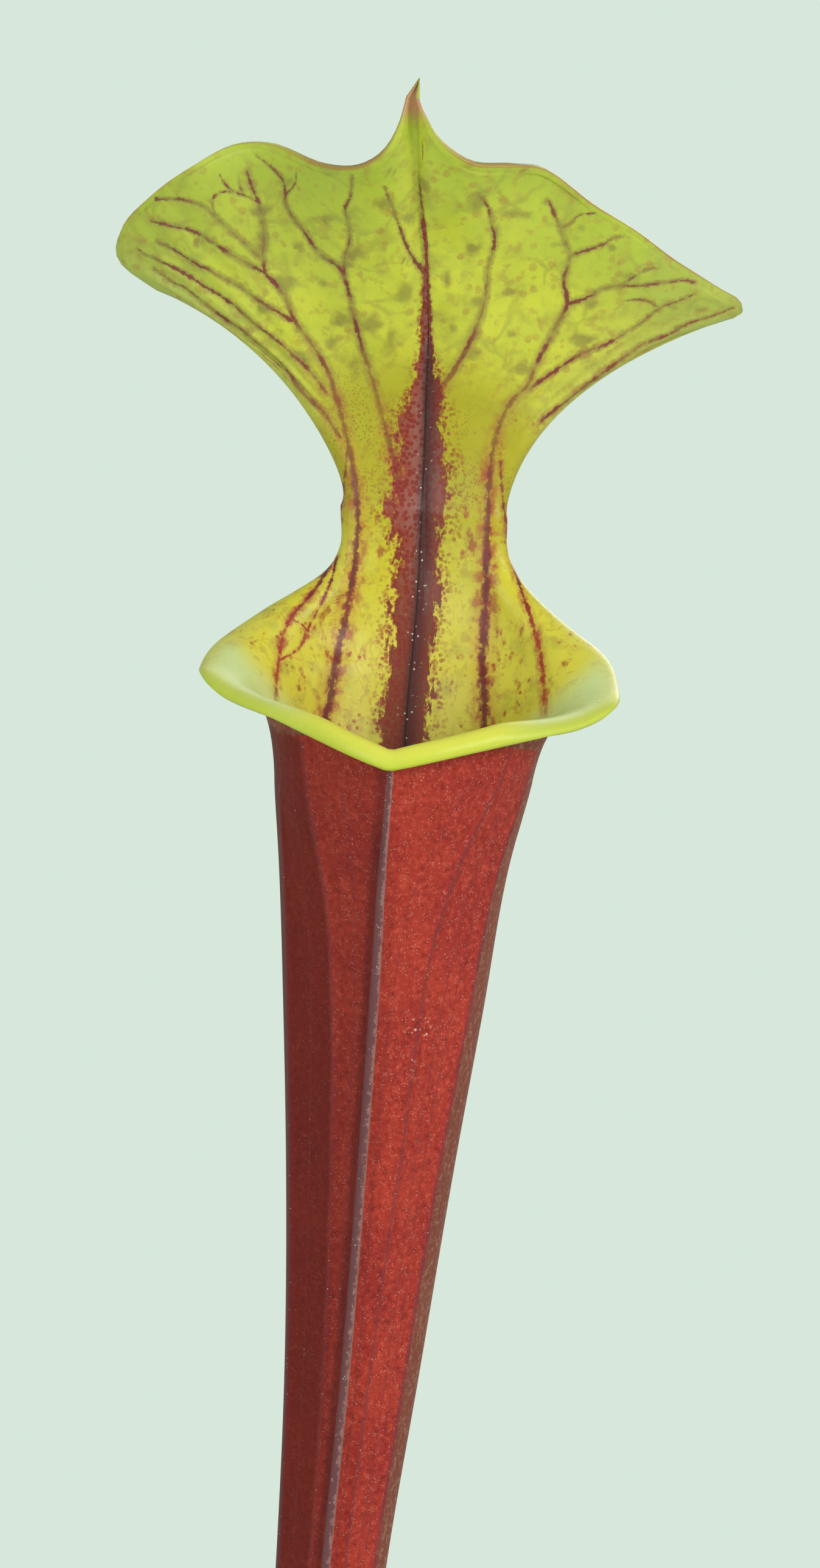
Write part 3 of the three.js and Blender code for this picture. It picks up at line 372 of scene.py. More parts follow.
def make_piece(name, points, quads, tris=None, fields=None, materials=(), shades=None):
    """One smooth object from points in millimetres, quads, triangles, named vertex fields, its materials and
    the number of the material on each face."""
    tris = np.zeros((0, 3), int) if tris is None else np.asarray(tris)
    quads = np.asarray(quads).reshape(-1, 4)
    mesh = bpy.data.meshes.new(name)
    mesh.vertices.add(len(points))
    mesh.vertices.foreach_set("co", (np.asarray(points) * MM).astype(np.float32).ravel())
    mesh.loops.add(quads.size + tris.size)
    mesh.loops.foreach_set("vertex_index", np.concatenate([quads.ravel(), tris.ravel()]).astype(np.int32))
    mesh.polygons.add(len(quads) + len(tris))
    starts = np.concatenate([np.arange(len(quads)) * 4, quads.size + np.arange(len(tris)) * 3])
    mesh.polygons.foreach_set("loop_start", starts.astype(np.int32))
    for material in materials:
        mesh.materials.append(material)
    if shades is not None:
        mesh.polygons.foreach_set("material_index", np.asarray(shades, np.int32))
    mesh.polygons.foreach_set("use_smooth", np.full(len(mesh.polygons), True))
    for key, values in (fields or {}).items():
        values = np.asarray(values, np.float32)
        vector = values.ndim == 2
        attribute = mesh.attributes.new(key, "FLOAT_VECTOR" if vector else "FLOAT", "POINT")
        attribute.data.foreach_set("vector" if vector else "value", values.ravel())
    mesh.update()
    mesh.validate()
    piece = bpy.data.objects.new(name, mesh)
    bpy.context.scene.collection.objects.link(piece)
    return piece


def settle(piece, slot, *nodes):
    """The piece rides on the plant and stands for the named solids."""
    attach(piece, "root")
    if nodes:
        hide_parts(*nodes)


def fan(ring, centre, flip=False):
    """Triangles from a ring of vertex numbers to a centre vertex."""
    after = np.roll(ring, -1)
    middle = np.full_like(ring, centre)
    return np.stack([after, ring, middle] if flip else [ring, after, middle], -1)


# ------------------------------------------------------------------ node helpers


def add(tree, kind, inputs=None, **settings):
    """A node with its settings, and its inputs set to values or linked to sockets."""
    made = tree.nodes.new(kind)
    for key, value in settings.items():
        setattr(made, key, value)
    for key, value in (inputs or {}).items():
        if isinstance(value, bpy.types.NodeSocket):
            tree.links.new(value, made.inputs[key])
        else:
            made.inputs[key].default_value = value
    return made


def calc(tree, operation, *values, clamp=False):
    """A Math node's output."""
    inputs = dict(enumerate(values))
    return add(tree, "ShaderNodeMath", inputs, operation=operation, use_clamp=clamp).outputs[0]


def times(tree, a, b):
    """The product of two values."""
    return calc(tree, "MULTIPLY", a, b)


def blend(tree, factor, a, b):
    """A Mix node's colour output."""
    made = add(tree, "ShaderNodeMix", {0: factor}, data_type="RGBA")
    for key, value in ((6, a), (7, b)):
        if isinstance(value, bpy.types.NodeSocket):
            tree.links.new(value, made.inputs[key])
        else:
            made.inputs[key].default_value = (*value[:3], 1)
    return made.outputs[2]


def step(tree, value, zero, one):
    """A smooth mask of a value: 0 on the side of zero, 1 on the side of one."""
    inputs = {"Value": value, "From Min": zero, "From Max": one}
    return add(tree, "ShaderNodeMapRange", inputs, interpolation_type="SMOOTHSTEP").outputs[0]


def field(tree, name, output="Fac"):
    """A vertex field of the mesh."""
    return add(tree, "ShaderNodeAttribute", attribute_name=name).outputs[output]


def grain(tree, vector, scale, detail=2.0, roughness=0.5):
    """A Noise node's value."""
    inputs = {"Vector": vector, "Scale": scale, "Detail": detail, "Roughness": roughness}
    return add(tree, "ShaderNodeTexNoise", inputs).outputs["Fac"]


def cells(tree, vector, scale, feature="F1"):
    """A Voronoi node's distance."""
    inputs = {"Vector": vector, "Scale": scale}
    return add(tree, "ShaderNodeTexVoronoi", inputs, feature=feature).outputs["Distance"]


def stretch(tree, vector, scale):
    """A vector scaled by a Mapping node."""
    return add(tree, "ShaderNodeMapping", {"Vector": vector, "Scale": scale}).outputs[0]


def bump(tree, height, strength, distance):
    """A Bump node's normal."""
    inputs = {"Height": height, "Strength": strength, "Distance": distance}
    return add(tree, "ShaderNodeBump", inputs).outputs[0]


def new_finish(name, **sockets):
    """A material with a Principled shader whose plain sockets are set, and its Object coordinates."""
    material = bpy.data.materials.new(name)
    material.use_nodes = True
    tree = material.node_tree
    tree.nodes.clear()
    inputs = {key.replace("_", " "): value for key, value in sockets.items()}
    shader = add(tree, "ShaderNodeBsdfPrincipled", inputs)
    out = add(tree, "ShaderNodeOutputMaterial")
    tree.links.new(shader.outputs[0], out.inputs[0])
    return material, tree, shader, add(tree, "ShaderNodeTexCoord").outputs["Object"]


def feed(tree, shader, **links):
    """Links sockets into the shader's inputs."""
    for key, value in links.items():
        tree.links.new(value, shader.inputs[key.replace("_", " ")])


def vein_group():
    """Group: masks of one set of vein lines, their core and their halo, from the vector to the nearest vein
    with its width, and the distance to it, which keeps off false lines halfway between two veins."""
    if "Vein lines" in bpy.data.node_groups:
        return bpy.data.node_groups["Vein lines"]
    group = bpy.data.node_groups.new("Vein lines", "ShaderNodeTree")
    group.interface.new_socket("Vein", in_out="INPUT", socket_type="NodeSocketVector")
    for name in ("Gap", "Wander", "Spread", "Cell"):
        group.interface.new_socket(name, in_out="INPUT", socket_type="NodeSocketFloat")
    for name in ("Core", "Line", "Halo"):
        group.interface.new_socket(name, in_out="OUTPUT", socket_type="NodeSocketFloat")
    source = add(group, "NodeGroupInput").outputs
    result = add(group, "NodeGroupOutput")
    parts = add(group, "ShaderNodeSeparateXYZ", {0: source["Vein"]}).outputs
    flat = add(group, "ShaderNodeCombineXYZ", {0: parts["X"], 1: parts["Y"]}).outputs[0]
    across = add(group, "ShaderNodeVectorMath", {0: flat}, operation="LENGTH").outputs[1]
    distance = calc(group, "MAXIMUM", across, calc(group, "SUBTRACT", source["Gap"], source["Cell"]))
    uneven = calc(group, "ADD", distance, source["Wander"])
    half = times(group, parts["Z"], 0.5)
    ratio = calc(group, "DIVIDE", uneven, calc(group, "MAXIMUM", half, 0.02))
    present = step(group, parts["Z"], 0.1, 0.25)
    core = times(group, step(group, ratio, 0.6, 0.15), present)
    line = times(group, step(group, ratio, 1.2, 0.5), present)
    wide = calc(group, "DIVIDE", ratio, source["Spread"])
    halo = times(group, step(group, wide, 1.0, 0.3), present)
    group.links.new(core, result.inputs["Core"])
    group.links.new(line, result.inputs["Line"])
    group.links.new(halo, result.inputs["Halo"])
    return group


def veins(tree, numbers, wander, spread, cell):
    """The Vein lines group for each numbered set, and the strongest of their core, line and halo masks."""
    masks = {}
    for number in numbers:
        made = add(tree, "ShaderNodeGroup", node_tree=vein_group())
        tree.links.new(field(tree, f"vein_{number}", "Vector"), made.inputs["Vein"])
        tree.links.new(field(tree, f"gap_{number}"), made.inputs["Gap"])
        tree.links.new(wander, made.inputs["Wander"])
        made.inputs["Spread"].default_value = spread
        made.inputs["Cell"].default_value = cell
        for name in ("Core", "Line", "Halo"):
            mask = made.outputs[name]
            masks[name] = calc(tree, "MAXIMUM", masks[name], mask) if name in masks else mask
    return masks["Core"], masks["Line"], masks["Halo"]


def warped(tree, vector, scale, amount):
    """A vector pushed about by a Noise node's colour, so a pattern on it wanders."""
    inputs = {"Vector": vector, "Scale": scale, "Detail": 2.0}
    value = add(tree, "ShaderNodeTexNoise", inputs).outputs["Color"]
    steps = (("SUBTRACT", (0.5,) * 3), ("MULTIPLY", (amount * 2,) * 3), ("ADD", vector))
    for operation, other in steps:
        value = add(tree, "ShaderNodeVectorMath", {0: value, 1: other}, operation=operation).outputs[0]
    return value


def strew(tree, where, scale, size, patch_scale, patch_low, patch_high):
    """Small round specks of a Voronoi pattern, only where a slower noise is strong."""
    speck = step(tree, cells(tree, where, scale), size, size * 0.6)
    return times(tree, speck, step(tree, grain(tree, where, patch_scale, 2.0), patch_low, patch_high))


def shade(tree, mask, amount, below, above):
    """The colour above laid over the one below by a mask times an amount."""
    return blend(tree, times(tree, mask, amount), below, above)


# ------------------------------------------------------------------ pitcher: shape

# grid: cells across the back, columns of a front half up to each of its stations, rows and cells up the leaf
BACK_CELLS = 96
FRONT_KNOTS = (0, 2, 3, 4, 6, 16, 18, 21, 23, 32, 34, 37, 39, 46)
TUBE_ROWS = 90
MOUTH_CELLS = 34
COLUMN_CELLS = 42
LID_CELLS = 98
LIP_CELLS = 14

# the cavity's lowest row and the point it closes on, and the height above which the rows follow the mouth
CAVITY_FOOT = -332.0
CAVITY_POLE = -336.0
MOUTH_FOOT = -50.0

# passes that even out the margin's direction, the way out from it, the lip round the ears and their bowls
TANGENT_PASSES = 30
OUT_PASSES = 90
EAR_PASSES = 50
BOWL_PASSES = 120

# ears: their middle, how far the right tip is raised and the left one lowered, the distance out at which
# they begin to be drawn in, and how much further the left and the right tip may reach
EAR_MIDDLE = 0.9
TIP_RISE = 1.0
TIP_DROP = 0.6
BLUNT_AT = 29.5
BLUNT = (6.7, 5.2)


def tube_point(angle, z, depth):
    """Oval ring about the leaning axis, turned to set the wing left of front, with a bulge under the spout.
    Between the wing and each fold the arc is drawn most of the way in to its chord, cos(f/2) / cos(a - f/2)
    for a fold at f. Depth draws the whole ring in."""
    cx, cy, rx, ry = np.moveaxis(through(TUBE, z), -1, 0)
    turned = angle + FRONT_SHIFT * (1 - np.cos(angle)) / 2
    off = np.pi - np.abs(angle)
    bulge = SPOUT_BULGE * np.exp(-((off / (26 * DEG)) ** 2)) * np.exp(-(((z - 4) / 16) ** 2))
    marks = through(RIBS, z) * DEG
    fold = np.where(angle > 0, marks[..., 2], marks[..., 3])
    chord = np.where(off < fold, np.cos(fold / 2) / np.cos(np.minimum(off, fold) - fold / 2), 1)
    flat = 1 - FACET * (1 - chord) * smoothstep(6, -34, z) * smoothstep(-345, -300, z)
    return np.stack([cx + (rx * flat + bulge - depth) * np.sin(turned),
                     cy + (ry * flat + bulge - depth) * np.cos(turned), z + 0 * angle], -1)


def front_offsets(z):
    """Angles from the wing of the front columns, right and left: linear between the wing's crest and root,
    the sides of the rib and of the fold, and the join, so columns run along them, and even at the lip."""
    knots = np.array(FRONT_KNOTS)
    k = np.arange(knots[-1])
    cell = np.clip(np.searchsorted(knots, k, side="right") - 1, 0, len(knots) - 2)
    share = (k - knots[cell]) / (knots[cell + 1] - knots[cell])
    weights = np.zeros((len(knots), len(k)))
    weights[cell, np.arange(len(k))] = 1 - share
    weights[cell + 1, np.arange(len(k))] += share
    deep = through(TUBE, z)[..., 3]
    marks = through(RIBS, z) * DEG
    level = smoothstep(-14, 0, z)[..., None]
    sides = []
    for rib, crease in ((marks[..., 0], marks[..., 2]), (marks[..., 1], marks[..., 3])):
        near, far = 0.45 / deep, 1.3 / deep
        rib = np.maximum(rib, 1.5 / deep + far + near)
        crease = np.maximum(crease, rib + 2 * far + near)
        stations = [0.1 / deep, 0.26 / deep, 0.36 / deep, 0.8 / deep, 1.4 / deep,
                    rib - far, rib - near, rib + near, rib + far,
                    crease - far, crease - near, crease + near, crease + far, 0 * deep + np.pi - JOIN]
        marked = np.stack(stations, -1) @ weights
        sides.append(marked * (1 - level) + (k + 0.5) / knots[-1] * (np.pi - JOIN) * level)
    return sides


def ring_angles(z):
    """Ring angle of each column at heights z: across the back, 0 in the middle, then right, then left."""
    right, left = front_offsets(z)
    back = np.broadcast_to(np.linspace(-JOIN, JOIN, BACK_CELLS + 1), (len(z), BACK_CELLS + 1))
    return np.hstack([back, np.pi - right[:, ::-1], left - np.pi])


def mouth_height(angle):
    """Height of the ring where the lip starts."""
    return through(MOUTH, np.abs(angle) / DEG)[..., 0] + MOUTH_TILT * MOUTH_HALF * np.sin(angle)


def column_point(t, s):
    """Arc of a given half length and half angle, bulging backwards, its ends dropped, and tilted."""
    cx, cy, cz, half, beta, drop = np.moveaxis(through(COLUMN, t), -1, 0)
    bend = beta * DEG
    x = half * np.sin(bend * s) / bend
    forward = half * (1 - np.cos(bend * s)) / bend
    height = cz - drop * s * s - x * math.sin(COLUMN_LEAN)
    return np.stack([cx + x * math.cos(COLUMN_LEAN), cy - forward, height], -1)


def lid_point(s, t):
    """Cubic Bezier flow line from the waist through two control curves to the rim."""
    a, b, c, d = column_point(1 + 0 * s, s), through(LID_LOW, s), through(LID_HIGH, s), through(LID_RIM, s)
    t = t[..., None]
    return (1 - t) ** 3 * a + 3 * t * (1 - t) ** 2 * b + 3 * t * t * (1 - t) * c + t**3 * d


def vertex_normals(points, quads):
    """Unit normals: the sum of the cross products of the diagonals of the quads at each point."""
    a, b, c, d = (points[quads[:, k]] for k in range(4))
    normal = np.cross(c - a, d - b)
    total = np.zeros_like(points)
    for k in range(4):
        for axis in range(3):
            total[:, axis] += np.bincount(quads[:, k], normal[:, axis], len(points))
    return unit(total)


def softened(points, quads, weight, passes):
    """Points drawn again and again towards the mean of their neighbours, as strongly as the weight says."""
    pairs = np.concatenate([quads[:, [k, (k + 1) % 4]] for k in range(4)])
    near = np.bincount(pairs[:, 0], minlength=len(points))[:, None]
    for _ in range(passes):
        total = [np.bincount(pairs[:, 0], points[pairs[:, 1], axis], len(points)) for axis in range(3)]
        points = points + (np.stack(total, -1) / near - points) * weight[:, None]
    return points


def rolled_margin(at, inner, rolls, ears):
    """Rows that carry on from the loop and turn over to the back: outwards by R sin(turn) and backwards by
    R(1 - cos(turn)), for a wide arc and then a tight one. Round the ears both the loop and the turn are
    evened out between neighbours, so the corner of the mouth widens into a soft bowl."""
    around = lambda v, k: np.roll(v, -k, 0)
    soften = lambda v: 0.5 * v + 0.25 * (around(v, 1) + around(v, -1))
    tangent = unit(around(at, 1) - around(at, -1))
    for _ in range(TANGENT_PASSES):
        tangent = unit(soften(tangent))
    square = lambda v: unit(v - (v * tangent).sum(-1, keepdims=True) * tangent)
    out = square(at - inner)
    for _ in range(OUT_PASSES):
        out = square(soften(out))
    back = unit(np.cross(tangent, out))
    wide, wide_turn, tight, tight_turn = (rolls * (1, DEG, 1, DEG)).T
    even = lambda v: v + (soften(v) - v) * ears[:, None]
    rounded = at
    for _ in range(EAR_PASSES):
        rounded = even(rounded)
    rows = []
    for share in np.linspace(0, 1, LIP_CELLS + 1)[1:]:
        along = (wide * wide_turn + tight * tight_turn) * share
        late = wide_turn + (along - wide * wide_turn) / tight
        turn = np.where(along < wide * wide_turn, along / wide, late)
        early = np.minimum(turn, wide_turn)
        outward = wide * np.sin(early) + tight * (np.sin(turn) - np.sin(early))
        backward = wide * (1 - np.cos(early)) + tight * (np.cos(early) - np.cos(turn))
        turned = out * outward[:, None] + back * backward[:, None]
        for _ in range(EAR_PASSES):
            turned = even(turned)
        rows.append(at + (rounded - at) * smoothstep(0, 0.5, share) + turned)
    return np.array(rows)


def pitcher_face():
    """The leaf's upper face: points and quads of the tube, the hood and the rolled margin, with each point's
    ring angle, place across and along the hood, share of the margin and row of the tube. At the end the ears
    are softened, and their tips are raised or lowered and blunted."""
    heights = np.linspace(CAVITY_FOOT, MOUTH_FOOT, TUBE_ROWS)
    angles = ring_angles(heights)
    rise = np.linspace(0, 1, MOUTH_CELLS + 1)[1:]
    top_angles = ring_angles(MOUTH_FOOT + (6 - MOUTH_FOOT) * rise)
    z = np.vstack([np.repeat(heights[:, None], angles.shape[1], 1),
                   MOUTH_FOOT + (mouth_height(top_angles) - MOUTH_FOOT) * rise[:, None]])
    angles = np.vstack([angles, top_angles])
    tube = tube_point(angles, z, 1.0)
    rows, columns = angles.shape

    s = np.linspace(-1, 1, BACK_CELLS + 1)[None]
    t = np.linspace(0, 1, COLUMN_CELLS + 1)[1:, None]
    start = tube[-1, :BACK_CELLS + 1] - column_point(0 * s, s)[0]
    column = column_point(t + 0 * s, s + 0 * t) + start * (1 - t[..., None]) ** 2
    along = np.linspace(0, 1, LID_CELLS + 1)[1:, None]
    lid = lid_point(s + 0 * along, along + 0 * s)
    hood = np.concatenate([tube[-1:, :BACK_CELLS + 1], column, lid])
    above = np.arange((COLUMN_CELLS + LID_CELLS) * (BACK_CELLS + 1)).reshape(-1, BACK_CELLS + 1)
    hood_index = np.vstack([(rows - 1) * columns + np.arange(BACK_CELLS + 1)[None], rows * columns + above])
    points = np.concatenate([tube.reshape(-1, 3), column.reshape(-1, 3), lid.reshape(-1, 3)])

    # margin loop: spout, right ear, right edge, rim, left edge, left ear
    front = FRONT_KNOTS[-1]
    right_front = np.arange(BACK_CELLS + front, BACK_CELLS, -1)
    left_front = np.arange(columns - 1, BACK_CELLS + front, -1)
    last = rows - 1
    up = np.arange(len(hood))
    loop = np.concatenate([last * columns + right_front, hood_index[:, -1], hood_index[-1, -2:0:-1],
                           hood_index[::-1, 0], last * columns + left_front])
    before = np.minimum(up, len(hood) - 2)
    inner = np.concatenate([(last - 1) * columns + right_front, hood_index[before, -2],
                            hood_index[-2, -2:0:-1], hood_index[before[::-1], 1],
                            (last - 1) * columns + left_front])
    station = np.where(up <= COLUMN_CELLS, up / COLUMN_CELLS / 2, 0.5 + (up - COLUMN_CELLS) / LID_CELLS / 2)
    degrees = np.abs(angles[-1]) / DEG
    rolls = np.concatenate([through(FRONT_LIP, degrees[right_front]), through(SIDE_LIP, station),
                            through(TOP_LIP, np.abs(s[0, -2:0:-1])), through(SIDE_LIP, station[::-1]),
                            through(FRONT_LIP, degrees[left_front])])
    front_ears = smoothstep(128, 104, degrees)
    side_ears = smoothstep(0.3, 0.14, station)
    ears = np.concatenate([front_ears[right_front], side_ears, 0 * s[0, -2:0:-1], side_ears[::-1],
                           front_ears[left_front]])
    margin = rolled_margin(points[loop], points[inner], rolls, ears)
    margin_index = len(points) + np.arange(margin.shape[0] * len(loop)).reshape(margin.shape[0], -1)
    lip_index = np.vstack([loop[None], margin_index])
    points = np.concatenate([points, margin.reshape(-1, 3)])

    tube_index = np.arange(rows * columns).reshape(rows, columns)
    quads = np.concatenate([strip_quads(np.hstack([tube_index, tube_index[:, :1]])), strip_quads(hood_index),
                            strip_quads(np.hstack([lip_index, lip_index[:, :1]])[:, ::-1])])

    count = len(points)
    across = np.zeros(count)
    length = np.zeros(count)
    across[hood_index] = s
    length[hood_index] = np.linspace(0, 2, len(hood))[:, None]
    ring_angle = np.zeros(count)
    ring_angle[tube_index] = angles
    share = np.zeros(count)
    share[margin_index] = np.linspace(0, 1, LIP_CELLS + 1)[1:, None]
    across[margin_index] = across[loop]
    length[margin_index] = length[loop]
    ring_angle[margin_index] = ring_angle[loop]

    off = np.abs(points[:, 0] - EAR_MIDDLE)
    bowl = smoothstep(13, 29, off) * smoothstep(-2, 6, points[:, 2]) * smoothstep(36, 28, points[:, 2])
    points = softened(points, quads, 0.8 * bowl * smoothstep(1, 0.6, share), BOWL_PASSES)
    off = points[:, 0] - EAR_MIDDLE
    low = points[:, 2] < 45
    points[:, 2] += (TIP_RISE * smoothstep(26, 36, off) - TIP_DROP * smoothstep(22, 32, -off)) * low
    soft = np.where(off < 0, *BLUNT)
    blunt = BLUNT_AT + soft * np.tanh((np.abs(off) - BLUNT_AT) / soft)
    points[:, 0] += np.sign(off) * (blunt - np.abs(off)) * (np.abs(off) > BLUNT_AT) * low
    level = np.full(count, float(rows))
    level[tube_index] = np.arange(rows)[:, None]
    return {"points": points, "quads": quads, "tube": tube_index, "lip": lip_index, "across": across,
            "length": length, "angle": ring_angle, "share": share, "level": level, "rows": rows}


def relief(face, normals):
    """Fine form on the upper face: cushions and a groove over the midrib on the lid, pleats near its side
    edges, and a valley down the middle of the column."""
    points, s, t = face["points"], face["across"], face["length"]
    on_lid = smoothstep(1.05, 1.4, t) * (face["share"] < 0.01)
    side = smoothstep(0.55, 0.85, np.abs(s)) * on_lid * smoothstep(2.0, 1.85, t)
    pleats = 0.32 * side * np.sin(np.abs(s) * 62 + 2.0 * np.sin(3 * t))
    cushions = 0.28 * on_lid * ripples(points * (1, 1, 0.6), 13.0, 4)
    valley = -1.3 * np.exp(-np.abs(s) * 5.5) * smoothstep(0.1, 0.5, t) * smoothstep(1.75, 1.1, t)
    groove = -0.16 * np.exp(-((s * 16) ** 2)) * smoothstep(0.9, 1.3, t) * smoothstep(1.8, 1.5, t)
    return normals * (pleats + cushions + (valley + groove) * (face["share"] < 0.01))[:, None]


def outer_face(face, normals, wall):
    """The leaf's other face: behind the upper one along the normals by the wall, the keel behind the midrib
    and the ridges of the ribs and folds, and by the front wing along the normal at the wing."""
    thick = np.full(len(face["points"]), wall)
    s, t = face["across"], face["length"]
    keel = np.exp(-((s / 0.045) ** 2)) * smoothstep(0.0, 0.3, t) * smoothstep(1.98, 1.75, t)
    thick += KEEL * keel * (face["share"] < 0.01)
    thick *= 1 - 0.65 * np.exp(-((s / 0.1) ** 2)) * smoothstep(1.8, 1.95, t)
    tube = face["tube"]
    z = face["points"][tube][..., 2]
    angle = face["angle"][tube]
    deep = through(TUBE, z)[..., 3]
    marks = through(RIBS, z) * DEG
    from_wing = np.pi - np.abs(angle)
    rib = np.where(angle > 0, marks[..., 0], marks[..., 1])
    crease = np.where(angle > 0, marks[..., 2], marks[..., 3])
    ridge = RIB_HEIGHT * np.exp(-(((from_wing - rib) * deep / 0.6) ** 2))
    ridge += FOLD_HEIGHT * np.exp(-(((from_wing - crease) * deep / 0.6) ** 2))
    ridge += 0.5 * np.exp(-((angle * deep / 1.1) ** 2))
    thick[tube] += ridge * smoothstep(0, -10, z)
    backs = face["points"] - normals * thick[:, None]
    across = from_wing * deep
    crest = 0.14 * smoothstep(1.3, 0.36, across) + 0.86 * smoothstep(0.36, 0.25, across)
    out = through(WING, z)[..., 0] * crest
    middle = BACK_CELLS + FRONT_KNOTS[-1]
    backs[tube] -= normals[tube][:, middle:middle + 1] * out[..., None]
    return backs


# ------------------------------------------------------------------ pitcher: markings


def plane_place(points):
    """Where each point is seen on the marking plane: its x and z, drawn towards the viewing axis."""
    pull = VIEW_DISTANCE / (VIEW_DISTANCE + points[:, 1])
    return np.stack([VIEW_X + (points[:, 0] - VIEW_X) * pull, VIEW_Z + (points[:, 2] - VIEW_Z) * pull], -1)


def from_sheet(places):
    """Marking-sheet units to millimetres on the plane."""
    places = np.asarray(places, float)
    return np.stack([PLANE_LEFT + places[:, 0] * UNIT, PLANE_TOP - places[:, 1] * UNIT], -1)


def smooth_line(places, count):
    """The points of a vein, joined by a smooth curve through them by distance along it."""
    line = from_sheet(places)
    reach = np.concatenate([[0], np.cumsum(np.linalg.norm(np.diff(line, axis=0), axis=1))])
    return through(np.column_stack([reach, line]), np.linspace(0, reach[-1], count))


def vein_sets():
    """The veins as (path, widths), dealt into sets whose members keep VEIN_ROOM apart, so that the middle
    between two of a set is never near either."""
    sets = []
    for foot, tip, line in VEINS:
        path = smooth_line(line, 6 * len(line))
        vein = (path, np.linspace(foot, tip, len(path) - 1))
        gaps = [min([np.linalg.norm(path[:, None] - other[None], axis=-1).min() for other, _ in group])
                for group in sets]
        room = [k for k, gap in enumerate(gaps) if gap > VEIN_ROOM]
        if room:
            sets[room[0]].append(vein)
        else:
            sets.append([vein])
    return sets


def nearest_vein(places, group):
    """Vector to the nearest vein of a set, with the vein's width as its third number, and the distance."""
    best = np.full(len(places), 1e9)
    found = np.zeros((len(places), 3))
    for path, widths in group:
        for a, b, width in zip(path[:-1], path[1:], widths):
            along = b - a
            u = np.clip(((places - a) @ along) / max(along @ along, 1e-9), 0, 1)
            gap = places - (a + u[:, None] * along)
            distance = np.linalg.norm(gap, axis=1)
            closer = distance < best
            best[closer] = distance[closer]
            found[closer, :2] = gap[closer]
            found[closer, 2] = width
    return found, best


def pitcher_fields(face):
    """Fields on the upper face: veins by set, throat, midrib, blotches, the tones of neck, ears and lip,
    margin, the painted shade where the lip rolls under and the flow along the leaf."""
    points, s, t = face["points"], face["across"], face["length"]
    places = plane_place(points)
    turned = np.abs(face["angle"]) / DEG
    inside = face["share"] * (turned > 60)
    behind = smoothstep(112, 92, turned) * smoothstep(0.45, 0.15, inside)
    down = (PLANE_TOP - places[:, 1]) / UNIT
    right = (places[:, 0] - PLANE_LEFT) / UNIT
    rib_rows = [(y, x) for x, y in MIDRIB]
    midrib = (right - through(rib_rows, down)[:, 0]) * UNIT
    low, high = through(THROAT, down).T
    throat = np.abs(right - (low + high) / 2) / ((high - low) / 2)
    blotch = np.zeros(len(points))
    for x, y, wide, tall in BLOTCHES:
        blotch = np.maximum(blotch, np.exp(-(((right - x) / wide) ** 2) - ((down - y) / tall) ** 2))
    z = points[:, 2]
    warm = smoothstep(86, 30, z)
    x_seen, z_seen = places.T
    hollow = np.max([a * (x_seen - x) + b * (z_seen - y) for a, b, x, y in EAR_HOLLOWS], axis=0)
    ear = smoothstep(-4, 0.6, hollow) * smoothstep(25, 20, z_seen) * smoothstep(2, 7, z_seen)
    ear = ear * (0.25 + 0.75 * smoothstep(0.9, 0.55, face["share"])) * (z < 40)
    lip = smoothstep(70, 96, turned) * smoothstep(0.0, 0.2, face["share"])
    fields = {
        "throat": np.where(behind > 0.5, throat, 9),
        "midrib": np.where(behind > 0.5, midrib, 99),
        "blotch": blotch * (t > 1.02),
        "tone": np.column_stack([warm, ear, lip]),
        "edge": face["share"] * smoothstep(1.0, 1.2, t),
        # painted shade under the lip's roll
        "under": smoothstep(0.55, 0.95, face["share"]) * lip,
        "flow": np.column_stack([s * 30, t * 60, z]),
    }
    for number, group in enumerate(vein_sets(), 1):
        found, gap = nearest_vein(places, group)
        found[:, 2] *= behind * (1.12 - 0.34 * smoothstep(0.9, 1.3, t))
        fields[f"vein_{number}"] = found
        fields[f"gap_{number}"] = gap
    return fields


def tube_lines(points, angle):
    """Fields of the tube's outer face: ribs, folds and fine veins by set, as for the hood, the strips
    outside the folds, the distance from the wing, the painted shade of the left side and the scar."""
    z = points[:, 2]
    deep = through(TUBE, z)[:, 3]
    marks = through(RIBS, z) * DEG
    minor = through(MINOR_VEINS, z) * DEG
    from_wing = np.pi - np.abs(angle)
    right = angle > 0
    side = np.where(right, 1, -1)
    rib = np.where(right, marks[:, 0], marks[:, 1])
    crease = np.where(right, marks[:, 2], marks[:, 3])
    first = np.where(right, minor[:, 0], minor[:, 3])
    second = np.where(right, minor[:, 1], minor[:, 4])
    third = np.where(right, minor[:, 2], 500 * DEG)
    # painted shade: the left side, turned away from the key light, is darkened in its colour
    left_shade = (0.4 + 0.6 * smoothstep(-0.3, 1.2, (from_wing - rib) * deep)) * (side < 0)
    fields = {"strip": (from_wing - crease) * deep, "wing": from_wing * deep * side,
              "left_shade": left_shade * smoothstep(150 * DEG, 95 * DEG, from_wing)}
    sets = [[(rib, 0.4), (minor[:, 5], 0.35), (0 * z + np.pi, 0.7)], [(crease, 0.45), (minor[:, 6], 0.35)],
            [(first, 0.2), (third, 0.2)], [(second, 0.2)]]
    scar_x, scar_z, wide, tall = SCAR
    scar = np.exp(-(((points[:, 0] - scar_x) / wide) ** 2) - ((z - scar_z) / tall) ** 2)
    fields["scar"] = scar * (points[:, 1] < 0)
    for number, lines in enumerate(sets, 1):
        gaps = np.stack([(from_wing - place) * deep for place, _ in lines])
        nearest = np.abs(gaps).argmin(0)
        gap = gaps[nearest, np.arange(len(z))]
        width = np.array([w for _, w in lines])[nearest]
        fields[f"vein_{number}"] = np.column_stack([gap, 0 * gap, width])
        fields[f"gap_{number}"] = np.abs(gap)
    return fields


# ------------------------------------------------------------------ pitcher: finishes


